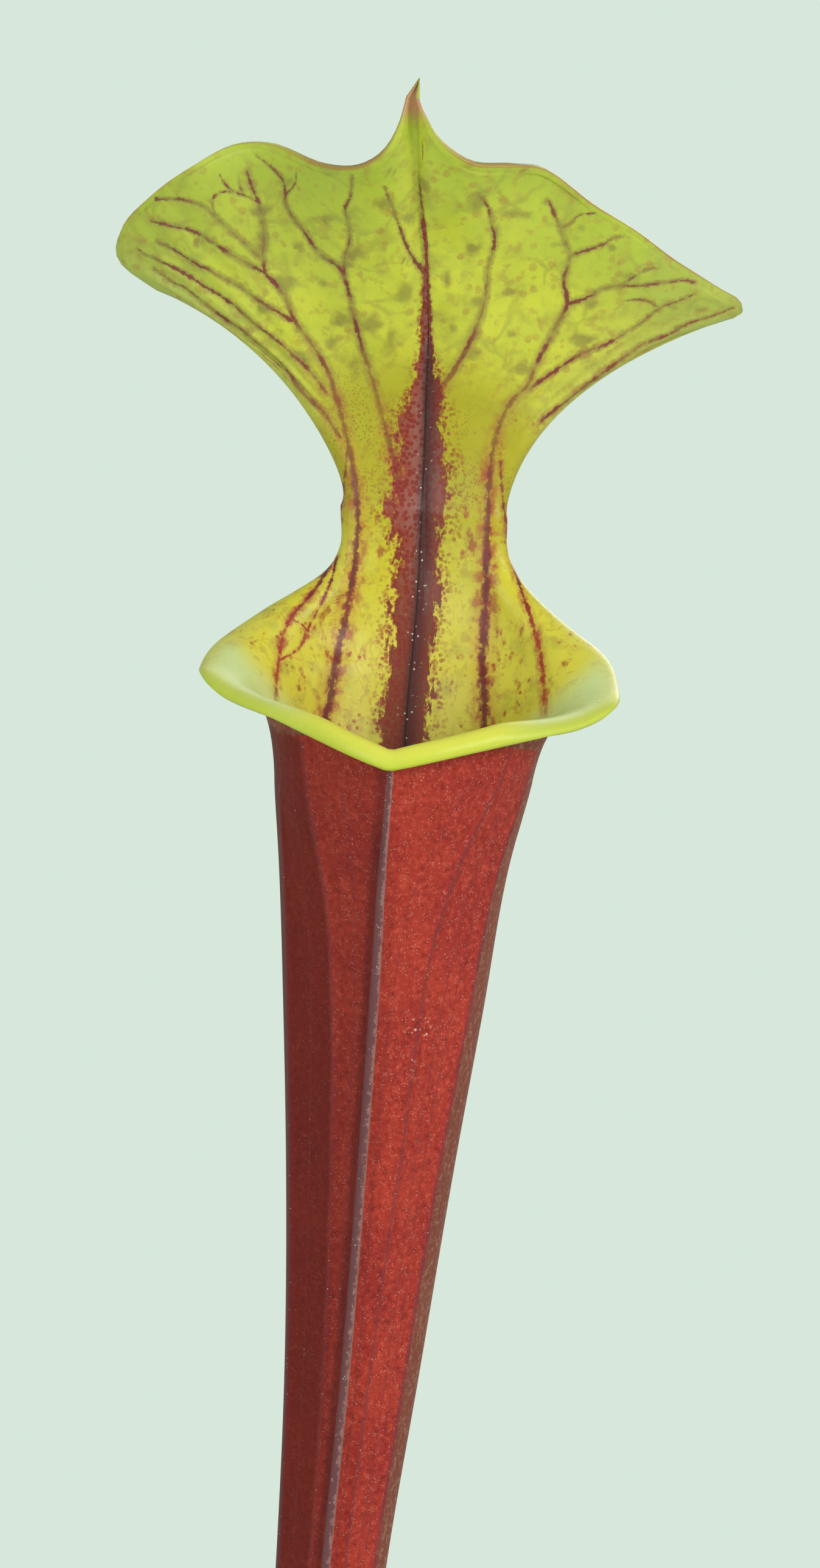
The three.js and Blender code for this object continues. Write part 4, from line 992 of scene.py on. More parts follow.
def hood_finish(colours):
    """Yellow-green leaf with olive blotches, mottling, dark veins and greyer lobes of painted sheen; a
    warmer neck with red specks; a maroon throat with its black middle, white hairs and painted shade right
    of the midrib; a brown margin, a pale rolled lip with painted shade where it rolls under, paler ears and
    painted light on the apex."""
    material, tree, shader, where = new_finish(
        "Hood leaf", Roughness=0.42, IOR=1.4, Subsurface_Weight=0.1, Subsurface_Scale=1.0,
        Subsurface_Radius=(0.0018, 0.0022, 0.0004), Coat_Weight=0.1, Coat_Roughness=0.3)
    tone = add(tree, "ShaderNodeSeparateXYZ", {0: field(tree, "tone", "Vector")}).outputs
    along = add(tree, "ShaderNodeSeparateXYZ", {0: field(tree, "flow", "Vector")}).outputs
    slow = grain(tree, where, 70.0, 3.0)
    fine = grain(tree, where, 420.0, 4.0, 0.6)
    glow = step(tree, grain(tree, where, 150.0, 3.0, 0.55), 0.40, 0.64)
    on_lid = step(tree, along["Y"], 58.0, 78.0)

    # ground: bright green hood, greener towards the rim and greyer on the lobes with painted sheen, yellow
    # neck
    green = shade(tree, glow, 0.8, colours.hood, (0.64, 0.64, 0.050))
    rim = step(tree, calc(tree, "MULTIPLY_ADD", slow, 22.0, along["Y"]), 98.0, 134.0)
    green = shade(tree, rim, 0.7, green, (0.37, 0.46, 0.045))
    # painted sheen: the lobes greyed as if turned up to the sky
    lobe_sheen = step(tree, calc(tree, "MULTIPLY_ADD", slow, 8.0, calc(tree, "ABSOLUTE", along["X"])), 24.0, 36.0)
    green = shade(tree, times(tree, lobe_sheen, on_lid), 0.5, green, (0.33, 0.36, 0.13))
    yellow = shade(tree, glow, 0.5, colours.column, (0.70, 0.62, 0.09))
    yellow = shade(tree, step(tree, along["Z"], 38.0, 20.0), 0.6, yellow, (0.76, 0.66, 0.085))
    ground = blend(tree, tone["X"], green, yellow)

    # mottling and olive blotches
    ground = shade(tree, step(tree, fine, 0.53, 0.66), 0.42, ground, (0.42, 0.26, 0.055))
    cloud = step(tree, grain(tree, where, 190.0, 3.0, 0.55), 0.52, 0.74)
    ground = shade(tree, cloud, 0.45, ground, (0.36, 0.32, 0.055))
    mesh = step(tree, cells(tree, warped(tree, where, 110.0, 0.005), 150.0, "DISTANCE_TO_EDGE"), 0.13, 0.0)
    mesh = times(tree, mesh, step(tree, grain(tree, where, 110.0, 3.0), 0.42, 0.60))
    ground = shade(tree, times(tree, mesh, on_lid), 0.4, ground, (0.30, 0.265, 0.05))
    fleck = strew(tree, warped(tree, where, 500.0, 0.0005), 420.0, 0.36, 130.0, 0.40, 0.54)
    ground = shade(tree, times(tree, fleck, on_lid), 0.42, ground, (0.40, 0.20, 0.05))
    uneven = calc(tree, "SUBTRACT", grain(tree, where, 260.0, 5.0, 0.62), 0.5)
    soft_blotch = calc(tree, "MULTIPLY_ADD", uneven, 2.2, field(tree, "blotch"))
    near_blotch = step(tree, field(tree, "blotch"), 0.0, 0.2)
    soft_blotch = times(tree, step(tree, soft_blotch, 0.10, 0.95), near_blotch)
    ground = shade(tree, soft_blotch, 0.72, ground, (0.27, 0.225, 0.045))

    # neck: fine pits, red veinlets and flecks
    inward = calc(tree, "SUBTRACT", 1.0, calc(tree, "MAXIMUM", tone["Z"], tone["Y"]), clamp=True)
    neck = times(tree, inward, tone["X"])
    waist = times(tree, step(tree, along["Y"], 22.0, 44.0), step(tree, along["Y"], 78.0, 62.0))
    pits = times(tree, step(tree, cells(tree, where, 2000.0), 0.46, 0.22),
                step(tree, grain(tree, where, 120.0, 2.0), 0.40, 0.6))
    ground = shade(tree, waist, 0.75, ground, (0.40, 0.335, 0.006))
    ground = shade(tree, times(tree, pits, waist), 0.6, ground, (0.22, 0.18, 0.012))
    net = cells(tree, warped(tree, where, 260.0, 0.0022), 300.0, "DISTANCE_TO_EDGE")
    broken = step(tree, grain(tree, where, 160.0, 3.0), 0.48, 0.60)
    veinlet = times(tree, step(tree, net, 0.09, 0.0), broken)
    ground = shade(tree, times(tree, veinlet, neck), 0.25, ground, (0.42, 0.07, 0.025))
    freckle = strew(tree, where, 700.0, 0.30, 160.0, 0.50, 0.64)
    ground = shade(tree, times(tree, freckle, neck), 0.75, ground, (0.36, 0.026, 0.020))
    splash = grain(tree, stretch(tree, where, (1.0, 1.0, 0.65)), 420.0, 4.0, 0.62)
    sideways = calc(tree, "ABSOLUTE", along["X"])
    far = times(tree, step(tree, sideways, 16.0, 22.0), step(tree, along["Z"], 32.0, 22.0))
    outer = times(tree, step(tree, sideways, 14.0, 21.0), step(tree, along["Z"], 16.0, 26.0))
    splash = calc(tree, "MULTIPLY_ADD", outer, 0.07, splash)
    splash = calc(tree, "MULTIPLY_ADD", step(tree, along["Z"], 44.0, 14.0), 0.03, splash)
    splash = calc(tree, "MULTIPLY_ADD", step(tree, sideways, 22.0, 27.0), -0.06, splash)
    faint, full = step(tree, splash, 0.58, 0.69), step(tree, splash, 0.65, 0.72)
    ground = shade(tree, times(tree, faint, neck), 0.38, ground, (0.42, 0.060, 0.028))
    ground = shade(tree, times(tree, full, neck), 0.6, ground, (0.33, 0.026, 0.022))

    # lip and ears, with painted shade where the lip rolls under
    ground = shade(tree, tone["Z"], 0.95, ground, colours.lip)
    ground = shade(tree, tone["Y"], 0.9, ground, (0.66, 0.76, 0.36))
    blush = strew(tree, where, 160.0, 0.34, 60.0, 0.5, 0.62)
    ground = shade(tree, times(tree, blush, calc(tree, "MAXIMUM", tone["Z"], tone["Y"])), 0.25, ground,
                   (0.62, 0.32, 0.12))
    # painted shade: the lip darkens where it rolls under
    ground = shade(tree, field(tree, "under"), 0.6, ground, (0.44, 0.54, 0.015))

    # veins: broken and olive on the hood, red with a greyish core on the neck
    wander = times(tree, calc(tree, "SUBTRACT", grain(tree, where, 800.0, 4.0, 0.65), 0.5), 1.3)
    core, line, halo = veins(tree, range(1, HOOD_SETS + 1), wander, 3.2, 0.7)
    strong = step(tree, grain(tree, where, 170.0, 2.0), 0.42, 0.56)
    lid_vein = calc(tree, "MAXIMUM", times(tree, line, strong), times(tree, core, 0.4))
    ground = shade(tree, times(tree, halo, on_lid), 0.62, ground, (0.29, 0.225, 0.055))
    stain = shade(tree, rim, 0.6, colours.vein, (0.27, 0.075, 0.040))
    ground = shade(tree, times(tree, lid_vein, on_lid), 0.9, ground, stain)
    ground = shade(tree, times(tree, halo, neck), 0.28, ground, (0.50, 0.13, 0.04))
    fray = times(tree, halo, step(tree, grain(tree, where, 420.0, 3.0, 0.6), 0.46, 0.62))
    ground = shade(tree, times(tree, fray, neck), 0.65, ground, (0.40, 0.05, 0.03))
    rough = step(tree, grain(tree, where, 620.0, 3.0, 0.6), 0.40, 0.53)
    torn = calc(tree, "MAXIMUM", times(tree, line, rough), times(tree, core, 0.85))
    crimson = shade(tree, far, 1.0, (0.25, 0.016, 0.018), (0.38, 0.030, 0.022))
    ground = shade(tree, times(tree, torn, neck), 0.95, ground, crimson)
    inner = times(tree, core, calc(tree, "SUBTRACT", neck, far, clamp=True))
    ground = shade(tree, inner, 0.6, ground, (0.10, 0.020, 0.028))

    # throat: rosy with dark dots and a ragged red edge, painted shade right of the midrib where the valley's
    # slope turns from the light, and beads of white hair
    streaks = grain(tree, stretch(tree, where, (1.0, 1.0, 0.45)), 620.0, 4.0, 0.7)
    ragged = calc(tree, "MULTIPLY_ADD", calc(tree, "SUBTRACT", streaks, 0.5), 2.6, field(tree, "throat"))
    solid = step(tree, field(tree, "throat"), 0.8, 0.55)
    band = calc(tree, "MAXIMUM", step(tree, ragged, 1.02, 0.80), solid)
    dots = step(tree, cells(tree, warped(tree, where, 900.0, 0.0002), 1250.0), 0.56, 0.36)
    rosy = shade(tree, step(tree, ragged, 0.25, 0.8), 0.9, (0.30, 0.085, 0.082), (0.32, 0.026, 0.020))
    from_middle = field(tree, "midrib")
    rosy = shade(tree, step(tree, along["Z"], 44.0, 20.0), 0.85, rosy, (0.20, 0.008, 0.008))
    # painted shade: the throat's right half, on the valley slope that faces away from the light
    rosy = shade(tree, step(tree, from_middle, -0.3, 0.7), 0.4, rosy, (0.12, 0.008, 0.009))
    rosy = shade(tree, dots, 0.8, rosy, (0.060, 0.0015, 0.003))
    ground = shade(tree, band, 0.95, ground, rosy)
    fringe = times(tree, step(tree, ragged, 1.9, 0.9), dots)
    ground = shade(tree, fringe, 0.75, ground, (0.30, 0.020, 0.016))
    # painted shade, deepest just right of the midrib in the valley
    midrib_shade = times(tree, step(tree, from_middle, -1.7, 0.3), step(tree, from_middle, 3.0, 0.4))
    midrib_shade = times(tree, midrib_shade, step(tree, along["Y"], 78.0, 68.0))
    ground = shade(tree, times(tree, midrib_shade, band), 0.75, ground, (0.050, 0.008, 0.013))
    thread = step(tree, calc(tree, "ABSOLUTE", from_middle), 0.3, 0.05)
    thread = times(tree, thread, step(tree, along["Y"], 90.0, 72.0))
    ground = shade(tree, thread, 0.9, ground, (0.012, 0.003, 0.005))
    bead = step(tree, cells(tree, where, 1000.0), 0.2, 0.13)
    near = step(tree, calc(tree, "ABSOLUTE", from_middle), 2.2, 0.4)
    sparse = step(tree, grain(tree, where, 300.0, 1.0), 0.38, 0.5)
    near = times(tree, near, times(tree, sparse, tone["X"]))
    ground = shade(tree, times(tree, bead, near), 0.85, ground, (0.74, 0.68, 0.66))

    # margin, and the hood's apex with painted light where it faces down, and its salmon tip, also painted
    # lighter
    margin = step(tree, calc(tree, "MULTIPLY_ADD", slow, 0.5, field(tree, "edge")), 0.95, 1.25)
    ground = shade(tree, margin, 0.7, ground, (0.40, 0.15, 0.06))
    # painted light: the apex, which leans forward and faces down, is lightened
    ground = shade(tree, step(tree, along["Z"], 97.0, 103.0), 0.5, ground, (0.58, 0.66, 0.070))
    # the tip's own salmon colour, made lighter as painted light against its shade
    ground = shade(tree, step(tree, along["Z"], 103.5, 107.0), 0.9, ground, (0.62, 0.30, 0.19))

    height = calc(tree, "MULTIPLY_ADD", halo, -0.5, times(tree, glow, 0.3))
    height = calc(tree, "MULTIPLY_ADD", grain(tree, where, 1600.0, 3.0), 0.45, height)
    feed(tree, shader, Base_Color=ground, Normal=bump(tree, height, 0.35, 0.0004),
         Roughness=calc(tree, "MULTIPLY_ADD", grain(tree, where, 900.0), 0.16, 0.36))
    return material


def tube_finish(colours):
    """Velvety red with purplish rib lines, faint fine veins, pale fuzz and flecks, and a greyer strip
    outside the folds, partly its own duller colour and partly painted sheen of the hairs; painted shade on
    the left side and beside the wing, a painted highlight on the wing's right edge; turning to the hood's
    green and its veins up the back."""
    material, tree, shader, where = new_finish(
        "Velvet tube", Roughness=0.62, Specular_IOR_Level=0.15, Sheen_Weight=0.06, Sheen_Roughness=0.5,
        Sheen_Tint=(0.95, 0.72, 0.64, 1), Subsurface_Weight=0.03, Subsurface_Radius=(0.002, 0.0006, 0.0004),
        Subsurface_Scale=1.0)
    flow = add(tree, "ShaderNodeSeparateXYZ", {0: field(tree, "flow", "Vector")}).outputs
    streak = grain(tree, stretch(tree, where, (1.0, 1.0, 0.08)), 420.0, 3.0, 0.6)
    mottle = step(tree, grain(tree, where, 80.0, 3.0), 0.36, 0.66)
    red = shade(tree, mottle, 0.75, colours.tube, (0.43, 0.040, 0.024))
    red = shade(tree, step(tree, streak, 0.5, 0.72), 0.3, red, (0.22, 0.016, 0.014))
    nap = grain(tree, where, 1000.0, 5.0, 0.75)
    red = shade(tree, step(tree, nap, 0.50, 0.66), 0.55, red, (0.62, 0.085, 0.050))
    red = shade(tree, step(tree, nap, 0.48, 0.34), 0.6, red, (0.15, 0.008, 0.007))
    papillae = strew(tree, where, 2300.0, 0.30, 700.0, 0.44, 0.58)
    red = shade(tree, papillae, 0.5, red, (0.66, 0.33, 0.26))
    # greyer strip outside the folds: partly the tube's own duller colour, partly painted sheen of its hairs
    # where the sides turn away
    outside = step(tree, field(tree, "strip"), 0.05, 0.5)
    red = shade(tree, outside, 0.7, red, (0.17, 0.058, 0.034))
    red = shade(tree, times(tree, outside, step(tree, nap, 0.50, 0.62)), 0.45, red, (0.38, 0.25, 0.19))
    # painted shade darkens the tube's left side, away from the key light
    red = shade(tree, field(tree, "left_shade"), 0.75, red, (0.100, 0.006, 0.004))

    # ribs, folds and fine veins, the wing with its fringe of pale hairs and painted highlight on the right
    # and a painted shadow along its left root, bristles, the scar and the foot
    wander = times(tree, calc(tree, "SUBTRACT", grain(tree, where, 500.0, 3.0), 0.5), 0.3)
    line, halo = veins(tree, (1, 2, 3, 4), wander, 3.0, 0.45)[1:]
    red = shade(tree, halo, 0.2, red, (0.20, 0.022, 0.028))
    red = shade(tree, line, 0.5, red, (0.14, 0.035, 0.050))
    wing = field(tree, "wing")
    across = calc(tree, "ABSOLUTE", wing)
    crest = step(tree, across, 0.46, 0.33)
    red = shade(tree, crest, 0.85, red, (0.125, 0.058, 0.068))
    # the wing's right edge: pale hairs with a painted highlight where it faces the key light
    fringe_and_highlight = step(tree, calc(tree, "MULTIPLY_ADD", calc(tree, "SUBTRACT", nap, 0.5), 1.2, wing), 0.10, 0.26)
    fringe_and_highlight = times(tree, fringe_and_highlight, step(tree, across, 0.5, 0.36))
    red = shade(tree, fringe_and_highlight, 0.5, red, (0.42, 0.25, 0.23))
    # painted shadow: a dark band along the wing's left root, where the wing shades the tube
    root = times(tree, step(tree, wing, -0.35, -0.5), step(tree, wing, -2.4, -1.0))
    red = shade(tree, root, 0.55, red, (0.075, 0.008, 0.008))
    bristle = strew(tree, where, 1500.0, 0.2, 400.0, 0.5, 0.62)
    red = shade(tree, times(tree, bristle, calc(tree, "MAXIMUM", crest, line)), 0.7, red, (0.66, 0.58, 0.54))
    scar = times(tree, strew(tree, where, 1100.0, 0.30, 500.0, 0.46, 0.54), field(tree, "scar"))
    red = shade(tree, scar, 0.9, red, (0.80, 0.62, 0.46))
    foot = step(tree, flow["Z"], -230.0, -345.0)
    red = shade(tree, foot, 0.7, red, (0.13, 0.14, 0.03))

    # the hood's back, the margin and the pale roll of the lip
    mottle = step(tree, grain(tree, where, 90.0), 0.4, 0.65)
    green = shade(tree, mottle, 1.0, (0.38, 0.50, 0.045), (0.50, 0.58, 0.06))
    green = shade(tree, halo, 0.35, green, (0.33, 0.14, 0.04))
    green = shade(tree, line, 0.8, green, colours.vein)
    up = step(tree, calc(tree, "MULTIPLY_ADD", streak, 46.0, flow["Z"]), 28.0, 78.0)
    colour = blend(tree, up, red, green)
    colour = shade(tree, step(tree, field(tree, "edge"), 0.6, 1.0), 0.7, colour, (0.36, 0.16, 0.05))
    colour = blend(tree, step(tree, field(tree, "roll"), 0.1, 0.3), colour, (0.46, 0.56, 0.02))
    height = calc(tree, "MULTIPLY_ADD", streak, 0.4, times(tree, nap, 1.3))
    feed(tree, shader, Base_Color=colour, Normal=bump(tree, height, 0.45, 0.0003),
         Roughness=calc(tree, "MULTIPLY_ADD", nap, 0.2, 0.5))
    return material


class PITCHER_OT_trumpet(Operator):
    """Builds the tall hooded pitcher: two faces of one leaf, closed round the margin and at the foot"""

    bl_idname = "pitcher.trumpet"
    bl_label = "Trumpet pitcher"

    def execute(self, context):
        settings = context.scene.pitcher
        wall = settings.wall / MM
        face = pitcher_face()
        quads = face["quads"]
        normals = vertex_normals(face["points"], quads)
        fields = pitcher_fields(face)
        face["points"] = face["points"] + relief(face, normals)
        normals = vertex_normals(face["points"], quads)
        backs = outer_face(face, normals, wall)
        count = len(backs)

        # foot: the cavity closes on a point, and the outer face runs on down into the peat
        columns = face["tube"].shape[1]
        heights = np.array([-338.0, -344, SOIL_LINE, SOIL_LINE - BURIED])
        foot = tube_point(ring_angles(heights), heights[:, None], 0.0)
        pole = np.array([*through(TUBE, CAVITY_POLE)[:2], CAVITY_POLE])
        under = foot[-1].mean(0)
        points = np.vstack([face["points"], backs, foot.reshape(-1, 3), pole, under])
        foot_index = 2 * count + np.arange(foot.shape[0] * columns).reshape(-1, columns)
        down = np.vstack([face["tube"][0] + count, foot_index])
        edge = face["lip"][-1]
        rim = np.stack([edge, edge + count])
        outer_quads = quads[:, ::-1] + count
        rim_quads = strip_quads(np.hstack([rim, rim[:, :1]]))[:, ::-1]
        foot_quads = strip_quads(np.hstack([down, down[:, :1]]))
        pole_at = len(points) - 2
        tris = np.vstack([fan(face["tube"][0], pole_at, flip=True), fan(foot_index[-1], pole_at + 1)])

        # the outer face has the tube's own lines below the lip, and the hood's veins seen through above it
        spare = len(points) - 2 * count
        on_tube = face["level"] < face["rows"] - 1
        behind = tube_lines(backs, face["angle"])
        whole = {}
        for key in fields | behind:
            front = fields.get(key, np.full(count, 0.0 if key in ("left_shade", "scar") else 9.0))
            back = behind.get(key, front)
            mask = on_tube if front.ndim == 1 else on_tube[:, None]
            back = np.where(mask, back, front)
            whole[key] = np.concatenate([front, back, np.repeat(back[:1] * 0, spare, 0)])
        whole["flow"][2 * count:, 2] = points[2 * count:, 2]
        rolled = face["share"] * smoothstep(60, 80, np.abs(face["angle"]) / DEG) * (face["length"] < 0.2)
        whole["roll"] = np.concatenate([0 * rolled, rolled, np.zeros(spare)])

        all_quads = np.vstack([quads, outer_quads, rim_quads, foot_quads])
        shades = np.concatenate([np.zeros(len(quads)), np.ones(len(outer_quads)), np.zeros(len(rim_quads)),
                                 np.ones(len(foot_quads)), np.zeros(columns), np.ones(columns)])
        piece = make_piece("trumpet_pitcher", points + (LEAF_X, 0, LEAF_Z), all_quads, tris, whole,
                           [hood_finish(settings), tube_finish(settings)], shades)
        settle(piece, "pitcher", "pitcher")
        return {"FINISHED"}


# ------------------------------------------------------------------ low leaves and rhizome


def leaf_finish(colours, flushed):
    """Satin green with long fibres, paler foot and a red flush."""
    material, tree, shader, where = new_finish(
        "Young leaf" if flushed else "Blade leaf", Roughness=0.45, IOR=1.4, Subsurface_Weight=0.08,
        Subsurface_Radius=(0.001, 0.0014, 0.0004), Subsurface_Scale=1.0, Coat_Weight=0.08,
        Coat_Roughness=0.4)
    fibre = grain(tree, stretch(tree, where, (1.0, 1.0, 0.05)), 900.0, 2.0, 0.6)
    base = blend(tree, step(tree, fibre, 0.4, 0.65), colours.green, (0.24, 0.38, 0.06))
    base = shade(tree, step(tree, grain(tree, where, 120.0), 0.5, 0.7), 0.4, base, (0.30, 0.40, 0.07))
    along = field(tree, "along")
    amount = 0.75 if flushed else 0.35
    patch = grain(tree, stretch(tree, where, (1.0, 1.0, 0.3)), 160.0, 3.0)
    red = times(tree, step(tree, calc(tree, "ADD", along, patch), 0.75, 1.35), amount)
    base = blend(tree, red, base, colours.flush)
    foot = step(tree, along, 0.16, 0.02)
    base = shade(tree, foot, 0.75, base, (0.24, 0.10, 0.05))
    rim = step(tree, field(tree, "rim"), 0.86, 1.0)
    base = shade(tree, rim, 0.5, base, (0.22, 0.08, 0.03))
    dry = step(tree, along, 0.93, 1.0)
    base = shade(tree, dry, 0.8, base, (0.20, 0.12, 0.06))
    feed(tree, shader, Base_Color=base, Normal=bump(tree, fibre, 0.35, 0.0003),
         Roughness=calc(tree, "MULTIPLY_ADD", fibre, 0.2, 0.36))
    return material


def leaning_leaf(foot, reach, top, heights, sections, name, finish, node, slot_name, rims):
    """Sections stacked up a line that leaves the peat upright and leans out as height to the power 1.8, as
    one piece, closed at both ends."""
    u = np.clip(heights, 0, None) / top
    lean = u**1.8
    x, y = foot[0] + reach[0] * lean, foot[1] + reach[1] * lean
    centre = np.column_stack([x, y, SOIL_LINE + LEAF_Z + heights])
    points = centre[:, None] + np.concatenate([sections, np.zeros_like(sections[..., :1])], -1)
    rows, sides = sections.shape[:2]
    ends = np.vstack([points[0].mean(0), points[-1].mean(0)])
    index = np.arange(rows * sides).reshape(rows, sides)
    tris = np.vstack([fan(index[0], rows * sides, flip=True), fan(index[-1], rows * sides + 1)])
    fields = {"along": np.concatenate([np.repeat(u, sides), [0, 1]]),
              "rim": np.concatenate([rims.ravel(), [0, 0]])}
    whole = np.vstack([points.reshape(-1, 3), ends])
    settle(make_piece(name, whole, ring_quads(rows, sides), tris, fields, [finish]), slot_name, node)


class PITCHER_OT_young_leaves(Operator):
    """Builds the closed young pitcher and the flat winter leaves"""

    bl_idname = "pitcher.young_leaves"
    bl_label = "Young leaves"

    def execute(self, context):
        colours = context.scene.leaves
        heights = np.concatenate([[-LEAF_BURIED], np.linspace(-2, YOUNG_HEIGHT, 90)])
        half, deep = through(YOUNG, heights).T
        turn = np.linspace(0, 2 * np.pi, 72, endpoint=False)
        across = np.minimum(turn, 2 * np.pi - turn)
        wing = 1.5 * smoothstep(8, 24, heights) * smoothstep(144, 132, heights)
        ridge = wing[:, None] * np.exp(-((across * deep[:, None] / 0.55) ** 2))
        closed_hood = smoothstep(112, 122, heights)[:, None]
        seam = -0.35 * closed_hood * np.exp(-(((across - 1.9) * half[:, None] / 0.5) ** 2))
        pleat = 0.12 * np.cos(9 * turn) * smoothstep(10, 40, heights)[:, None]
        grow = 1 + (seam + pleat) / np.maximum(half[:, None], 1)
        x, y = half[:, None] * grow * np.sin(turn), -(deep[:, None] * grow + ridge) * np.cos(turn)
        rims = np.exp(-((across * 6) ** 2)) * np.ones((len(heights), 1))
        leaning_leaf(YOUNG_FOOT, YOUNG_REACH, YOUNG_HEIGHT, heights, np.stack([x, y], -1), "closed_pitcher",
                     leaf_finish(colours, True), "young_pitcher", "young_leaf", rims)

        finish = leaf_finish(colours, False)
        for number, (x, y, reach_x, reach_y, length, wide) in enumerate(BLADES, 1):
            heights = np.concatenate([[-LEAF_BURIED], np.linspace(-2, length, 70)])
            u = np.clip(heights, 0, None) / length
            half = wide * (0.42 + 2.5 * u * (1 - u) ** 0.55 - 0.42 * u**6) * 0.62 + 0.3
            rib = 0.95 * (1.6 - 1.1 * u)
            turn = np.linspace(0, 2 * np.pi, 40, endpoint=False)
            flat = np.cos(turn)
            wave = 0.25 * np.sin(u * 9 + number)[:, None] * np.abs(flat) ** 3
            lens = np.sin(turn) * (0.34 + (rib[:, None] - 0.34) * (1 - flat**2) ** 1.5) + wave
            along = unit(np.array([reach_x, reach_y], float))
            side = np.array([-along[1], along[0]])
            sections = half[:, None, None] * flat[None, :, None] * along + lens[..., None] * side
            rims = np.abs(flat) * np.ones((len(heights), 1))
            leaning_leaf((x, y), (reach_x, reach_y), length, heights, sections, f"winter_leaf_{number}",
                         finish, f"phyllode_{number}", "blade", rims)
        return {"FINISHED"}


# rhizome: where its back end lies, which way it points, its length, and its radius by distance along
RHIZOME_START = (-7.6, 9.0, 110.6)
RHIZOME_YAW = -8 * DEG
RHIZOME_LENGTH = 50
RHIZOME_RADII = [
    (0, 0.05), (1.2, 4.4), (4, 7.4), (8, 8.9), (10, 8.2), (15, 9.4), (17, 8.5), (22, 9.5), (24, 8.4),
    (30, 9), (32, 8), (38, 8.2), (43, 6.8), (48, 4), (50, 0.05),
]
# old leaf bases: distance along, lean in degrees, length; roots: distance along, reach x, reach y, depth
STUBS = [(8, 18, 6), (16, -26, 4), (23, 20, 5), (31, -12, 3)]
ROOTS = [(8, -20, -34, 34), (16, 22, 26, 58), (26, 24, -30, 24), (38, 10, -8, 66)]


def rhizome_place(points):
    """The rhizome's own frame, along +X, turned and moved to its bed."""
    c, s = math.cos(RHIZOME_YAW), math.sin(RHIZOME_YAW)
    return np.stack([c * points[..., 0] - s * points[..., 1] + RHIZOME_START[0],
                     s * points[..., 0] + c * points[..., 1] + RHIZOME_START[1],
                     points[..., 2] + RHIZOME_START[2]], -1)


def tube_along(path, radii, sides):
    """Closed round tube: rings of the given radii square to the path, which turns little from +X or -Z."""
    tangent = unit(np.gradient(path, axis=0))
    guide = np.array([0.0, 1.0, 0.0])
    a = unit(np.cross(tangent, guide))
    b = np.cross(tangent, a)
    turn = np.linspace(0, 2 * np.pi, sides, endpoint=False)[:, None]
    rings = path[:, None] + radii[:, None, None] * (np.cos(turn) * a[:, None] + np.sin(turn) * b[:, None])
    rows = len(path)
    points = np.vstack([rings.reshape(-1, 3), path[0], path[-1]])
    index = np.arange(rows * sides).reshape(rows, sides)
    tris = np.vstack([fan(index[0], rows * sides, flip=True), fan(index[-1], rows * sides + 1)])
    return points, ring_quads(rows, sides), tris


def joined(parts):
    """Several (points, quads, triangles) as one."""
    points, quads, tris, start = [], [], [], 0
    for p, q, t in parts:
        points.append(p)
        quads.append(q + start)
        tris.append(t + start)
        start += len(p)
    return np.vstack(points), np.vstack(quads), np.vstack(tris)


def bark_finish(colours):
    """Rough brown with dark cracks and reddish patches."""
    material, tree, shader, where = new_finish("Rhizome bark", Roughness=0.85, IOR=1.4)
    rough = grain(tree, where, 500.0, 5.0, 0.65)
    crack = cells(tree, stretch(tree, where, (1.0, 1.6, 1.6)), 380.0, "DISTANCE_TO_EDGE")
    base = blend(tree, step(tree, rough, 0.35, 0.7), colours.bark, (0.27, 0.15, 0.085))
    base = blend(tree, step(tree, crack, 0.12, 0.0), base, (0.05, 0.028, 0.018))
    base = shade(tree, step(tree, grain(tree, where, 110.0), 0.55, 0.7), 0.5, base, (0.22, 0.06, 0.03))
    height = calc(tree, "ADD", rough, times(tree, crack, 0.6))
    feed(tree, shader, Base_Color=base, Normal=bump(tree, height, 0.6, 0.0008))
    return material


